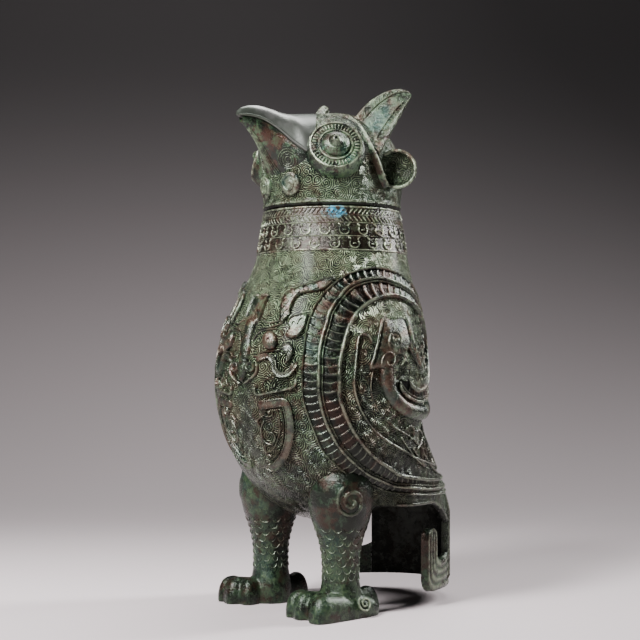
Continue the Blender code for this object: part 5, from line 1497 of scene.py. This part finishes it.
def mask_horn(mask):
    """Spotted horn that sweeps up from the mask to the wing."""
    upper, lower = (traced(breast_view(*line)) for line in (MASK_HORN_TOP, MASK_HORN_UNDER))
    shares, skin, away = floor_between(upper, lower, 6)
    mask.sheet(skin + away * (1.5 + 0.5 * np.sin(math.pi * shares))[None, :, None], 0.15)
    for edge in (upper, lower):
        mask.ridge(edge, bead(1.8, 2.9), body_land)
    for place in MASK_HORN_SPOTS:
        ring = circle_on(spot(breast_view, place), body_land, 2.1, 16)
        mask.ridge(ring, bead(0.9, 2.7, 4), body_land, closed=True)


def breast_mask():
    """Beast mask on the breast: shield, nose, eyes, horns, leaf ears and jaw hooks, alike on both sides."""
    mask = Casting()

    def patch(places, section):
        outline = traced(breast_view(*places), step=0.8, closed=True)
        mask.plate(outline, [(1.0, -SUNK), *section], body_land, 0.55)

    def line(places, section, ends=1.5, wear=0.9):
        mask.ridge(traced(breast_view(*places), step=0.9), section, body_land, ends=ends, wear=wear)

    mask_shield(mask)
    draw(mask, breast_view, MASK_BROWS)
    patch(round_places(*MASK_EYE),
          [(0.97, 2.4), (0.86, 3.2), (0.6, 3.9), (0.3, 4.3), (0.18, 4.3), (0.12, 3.2), (0.0, 3.0)])
    patch(MASK_EAR, [(0.97, 2.6), (0.88, 3.2), (0.8, 2.3), (0.4, 2.5), (0.0, 2.6)])
    line(MASK_EAR_VEIN, bead(1.2, 3.6), ends=1.0)
    patch(MASK_LEAF, [(0.96, 2.6), (0.84, 3.2), (0.72, 2.3), (0.4, 2.6), (0.0, 2.8)])
    line(JAW_HOOK, grooved(4.6, 2.8), ends=3.0, wear=0.45)
    line(JAW_LIP, slab(2.2, 2.2))
    draw(mask, breast_view, JAW_CURLS)
    mask_horn(mask)
    mask.pair("breast_mask", "vessel", RELIEF, "dark_bronze", middle=BREAST_MIDDLE)


def breast_panels():
    """U-shaped panels under the mask, each with a small crested dragon."""
    panel = Casting()
    band = both_sides([(-3.2, -SUNK), (-3.0, 1.8), (-2.5, 2.1), (-2.0, 1.4), (0.0, 1.6)])
    panel.ridge(traced(whole_view(*PANEL_BAND), step=0.9), band, body_land, ends=1.5, wear=0.5)
    draw(panel, whole_view, PANEL_LINES)
    eye = spot(whole_view, PANEL_EYE)
    panel.ridge(circle_on(eye, body_land, 3.2, 24), bead(1.1, 1.8), body_land, closed=True)
    dome = [(1.0, -SUNK), (0.8, 1.5), (0.4, 2.0), (0.0, 2.1)]
    panel.plate(circle_on(eye, body_land, 1.5, 24), dome, body_land)
    panel.pair("breast_panel", "vessel", RELIEF, "green_bronze", middle=BREAST_MIDDLE)


def back_feathers():
    """Long round-ended feathers that hang down the back and the tail."""
    plume = Casting()
    for height, reach, turns in FEATHER_ROWS:
        for turn in turns:
            half = math.degrees(FEATHER_HALF / float(hull_radius(math.radians(turn), height)))
            low = height + 5.0
            for scale, lift in ((1.0, 1.6), (0.45, 1.1)):
                w = half * scale
                left = [(-w * 0.85, height + reach), (-w, height + reach * 0.55), (-w, low),
                        (-w * 0.7, low - 4.0 * scale)]
                right = [(-x, z) for x, z in left[::-1]]
                knots = np.array(left + [(0.0, low - 5.6 * scale)] + right) + (turn, 0.0)
                path = turned_path(knots, step=1.2)
                plume.ridge(path, bead(1.7 * scale + 0.7, lift), body_land, ends=5.0, wear=0.7)
    plume.pair("back_feathers", "vessel", RELIEF, "green_bronze")


tail_border()
neck_collar()
wing_bands()
wing_scrolls()
wing_beast()
breast_mask()
breast_panels()
back_feathers()


# Studio, in metres

FLOOR_FRONT, BEND_START, BEND_RADIUS, BACKDROP_TOP, SWEEP_HALF = -2.5, 0.7, 1.4, 3.5, 3.0
LIGHT_AIM = 0.2

# Soft lights as name, turn from the front in degrees, distance, height, size and power
SOFTBOXES = (("front_softbox", 10.0, 1.15, 1.15, (0.30, 0.6), 74.0),
             ("back_softbox", 162.0, 1.2, 0.90, (0.22, 0.7), 38.0),
             ("top_softbox", 215.0, 0.45, 1.35, (0.7, 0.7), 12.0))
AIR_COLOUR, AIR_STRENGTH = (0.5, 0.5, 0.52, 1.0), 0.06


def sweep():
    """Floor that bends up into a backdrop, with painted light and shade: pale near the vessel, darker up the
    backdrop and to the right.
    """
    ahead, across = SIGHT_AHEAD[:2], SIGHT_RIGHT[:2]
    bend = np.linspace(0.0, math.pi / 2.0, 48)
    run = [(FLOOR_FRONT, 0.0),
           *zip(BEND_START + BEND_RADIUS * np.sin(bend), BEND_RADIUS - BEND_RADIUS * np.cos(bend)),
           (BEND_START + BEND_RADIUS, BACKDROP_TOP)]
    points, faces = [], []
    for k, (depth, height) in enumerate(run):
        for side in (-SWEEP_HALF, SWEEP_HALF):
            points.append((*(ahead * depth + across * side), height))
        if k:
            faces.append((2 * k - 2, 2 * k - 1, 2 * k + 1, 2 * k))
    mesh = bpy.data.meshes.new("studio_sweep")
    mesh.from_pydata(points, [], faces)
    mesh.shade_smooth()
    paint = Paint("studio_grey")
    x, y, z = paint.parts(paint.place())
    depth, side = x * ahead[0] + y * ahead[1], x * across[0] + y * across[1]
    # Painted light and shade: floor brighter near the vessel, darker up the backdrop and toward the right
    shade = 0.23 + 0.32 * (1.0 - paint.between(depth, -0.1, 0.6)) - 0.20 * paint.between(z, -0.2, 0.95)
    shade = shade * (1.05 - 0.40 * paint.between(side, -0.35, 0.5))
    colour = paint.node('ShaderNodeCombineColor', None, (shade, shade * 0.88, shade * 0.90))
    mesh.materials.append(paint.set(Base_Color=colour, Roughness=0.75))
    thing = bpy.data.objects.new("studio_sweep", mesh)
    bpy.context.scene.collection.objects.link(thing)


def softbox(name, turn, distance, height, size, power):
    """Soft light that faces the vessel."""
    lamp = bpy.data.lights.new(name, 'AREA')
    lamp.shape = 'RECTANGLE'
    lamp.size, lamp.size_y = size
    lamp.energy = power
    thing = bpy.data.objects.new(name, lamp)
    place = at_turn(math.radians(turn), distance, height)
    toward = (0.0, 0.0, LIGHT_AIM) - place
    pitch = math.atan2(math.hypot(toward[0], toward[1]), -toward[2])
    thing.location = place
    thing.rotation_euler = (pitch, 0.0, math.atan2(-toward[0], toward[1]))
    bpy.context.scene.collection.objects.link(thing)


def air():
    """Faint even light from all round."""
    world = bpy.data.worlds.new("studio_air")
    world.use_nodes = True
    sockets = world.node_tree.nodes["Background"].inputs
    sockets[0].default_value, sockets[1].default_value = AIR_COLOUR, AIR_STRENGTH
    bpy.context.scene.world = world


def photo_camera():
    """The photograph's camera."""
    lens = bpy.data.cameras.new("photo_camera")
    lens.sensor_width = SENSOR
    lens.lens = FOCAL / FRAME * SENSOR
    lens.shift_x = (FRAME / 2.0 - CENTRE_X) / FRAME
    lens.shift_y = (HORIZON - FRAME / 2.0) / FRAME
    lens.clip_end = 20.0
    camera = bpy.data.objects.new("photo_camera", lens)
    camera.location = (SIGHT_EYE + (0.0, AXIS_Y, 0.0)) * MM
    camera.rotation_euler = (math.pi / 2.0, 0.0, VIEW_TURN)
    bpy.context.scene.collection.objects.link(camera)
    bpy.context.scene.camera = camera


sweep()
for lamp in SOFTBOXES:
    softbox(*lamp)
air()
photo_camera()
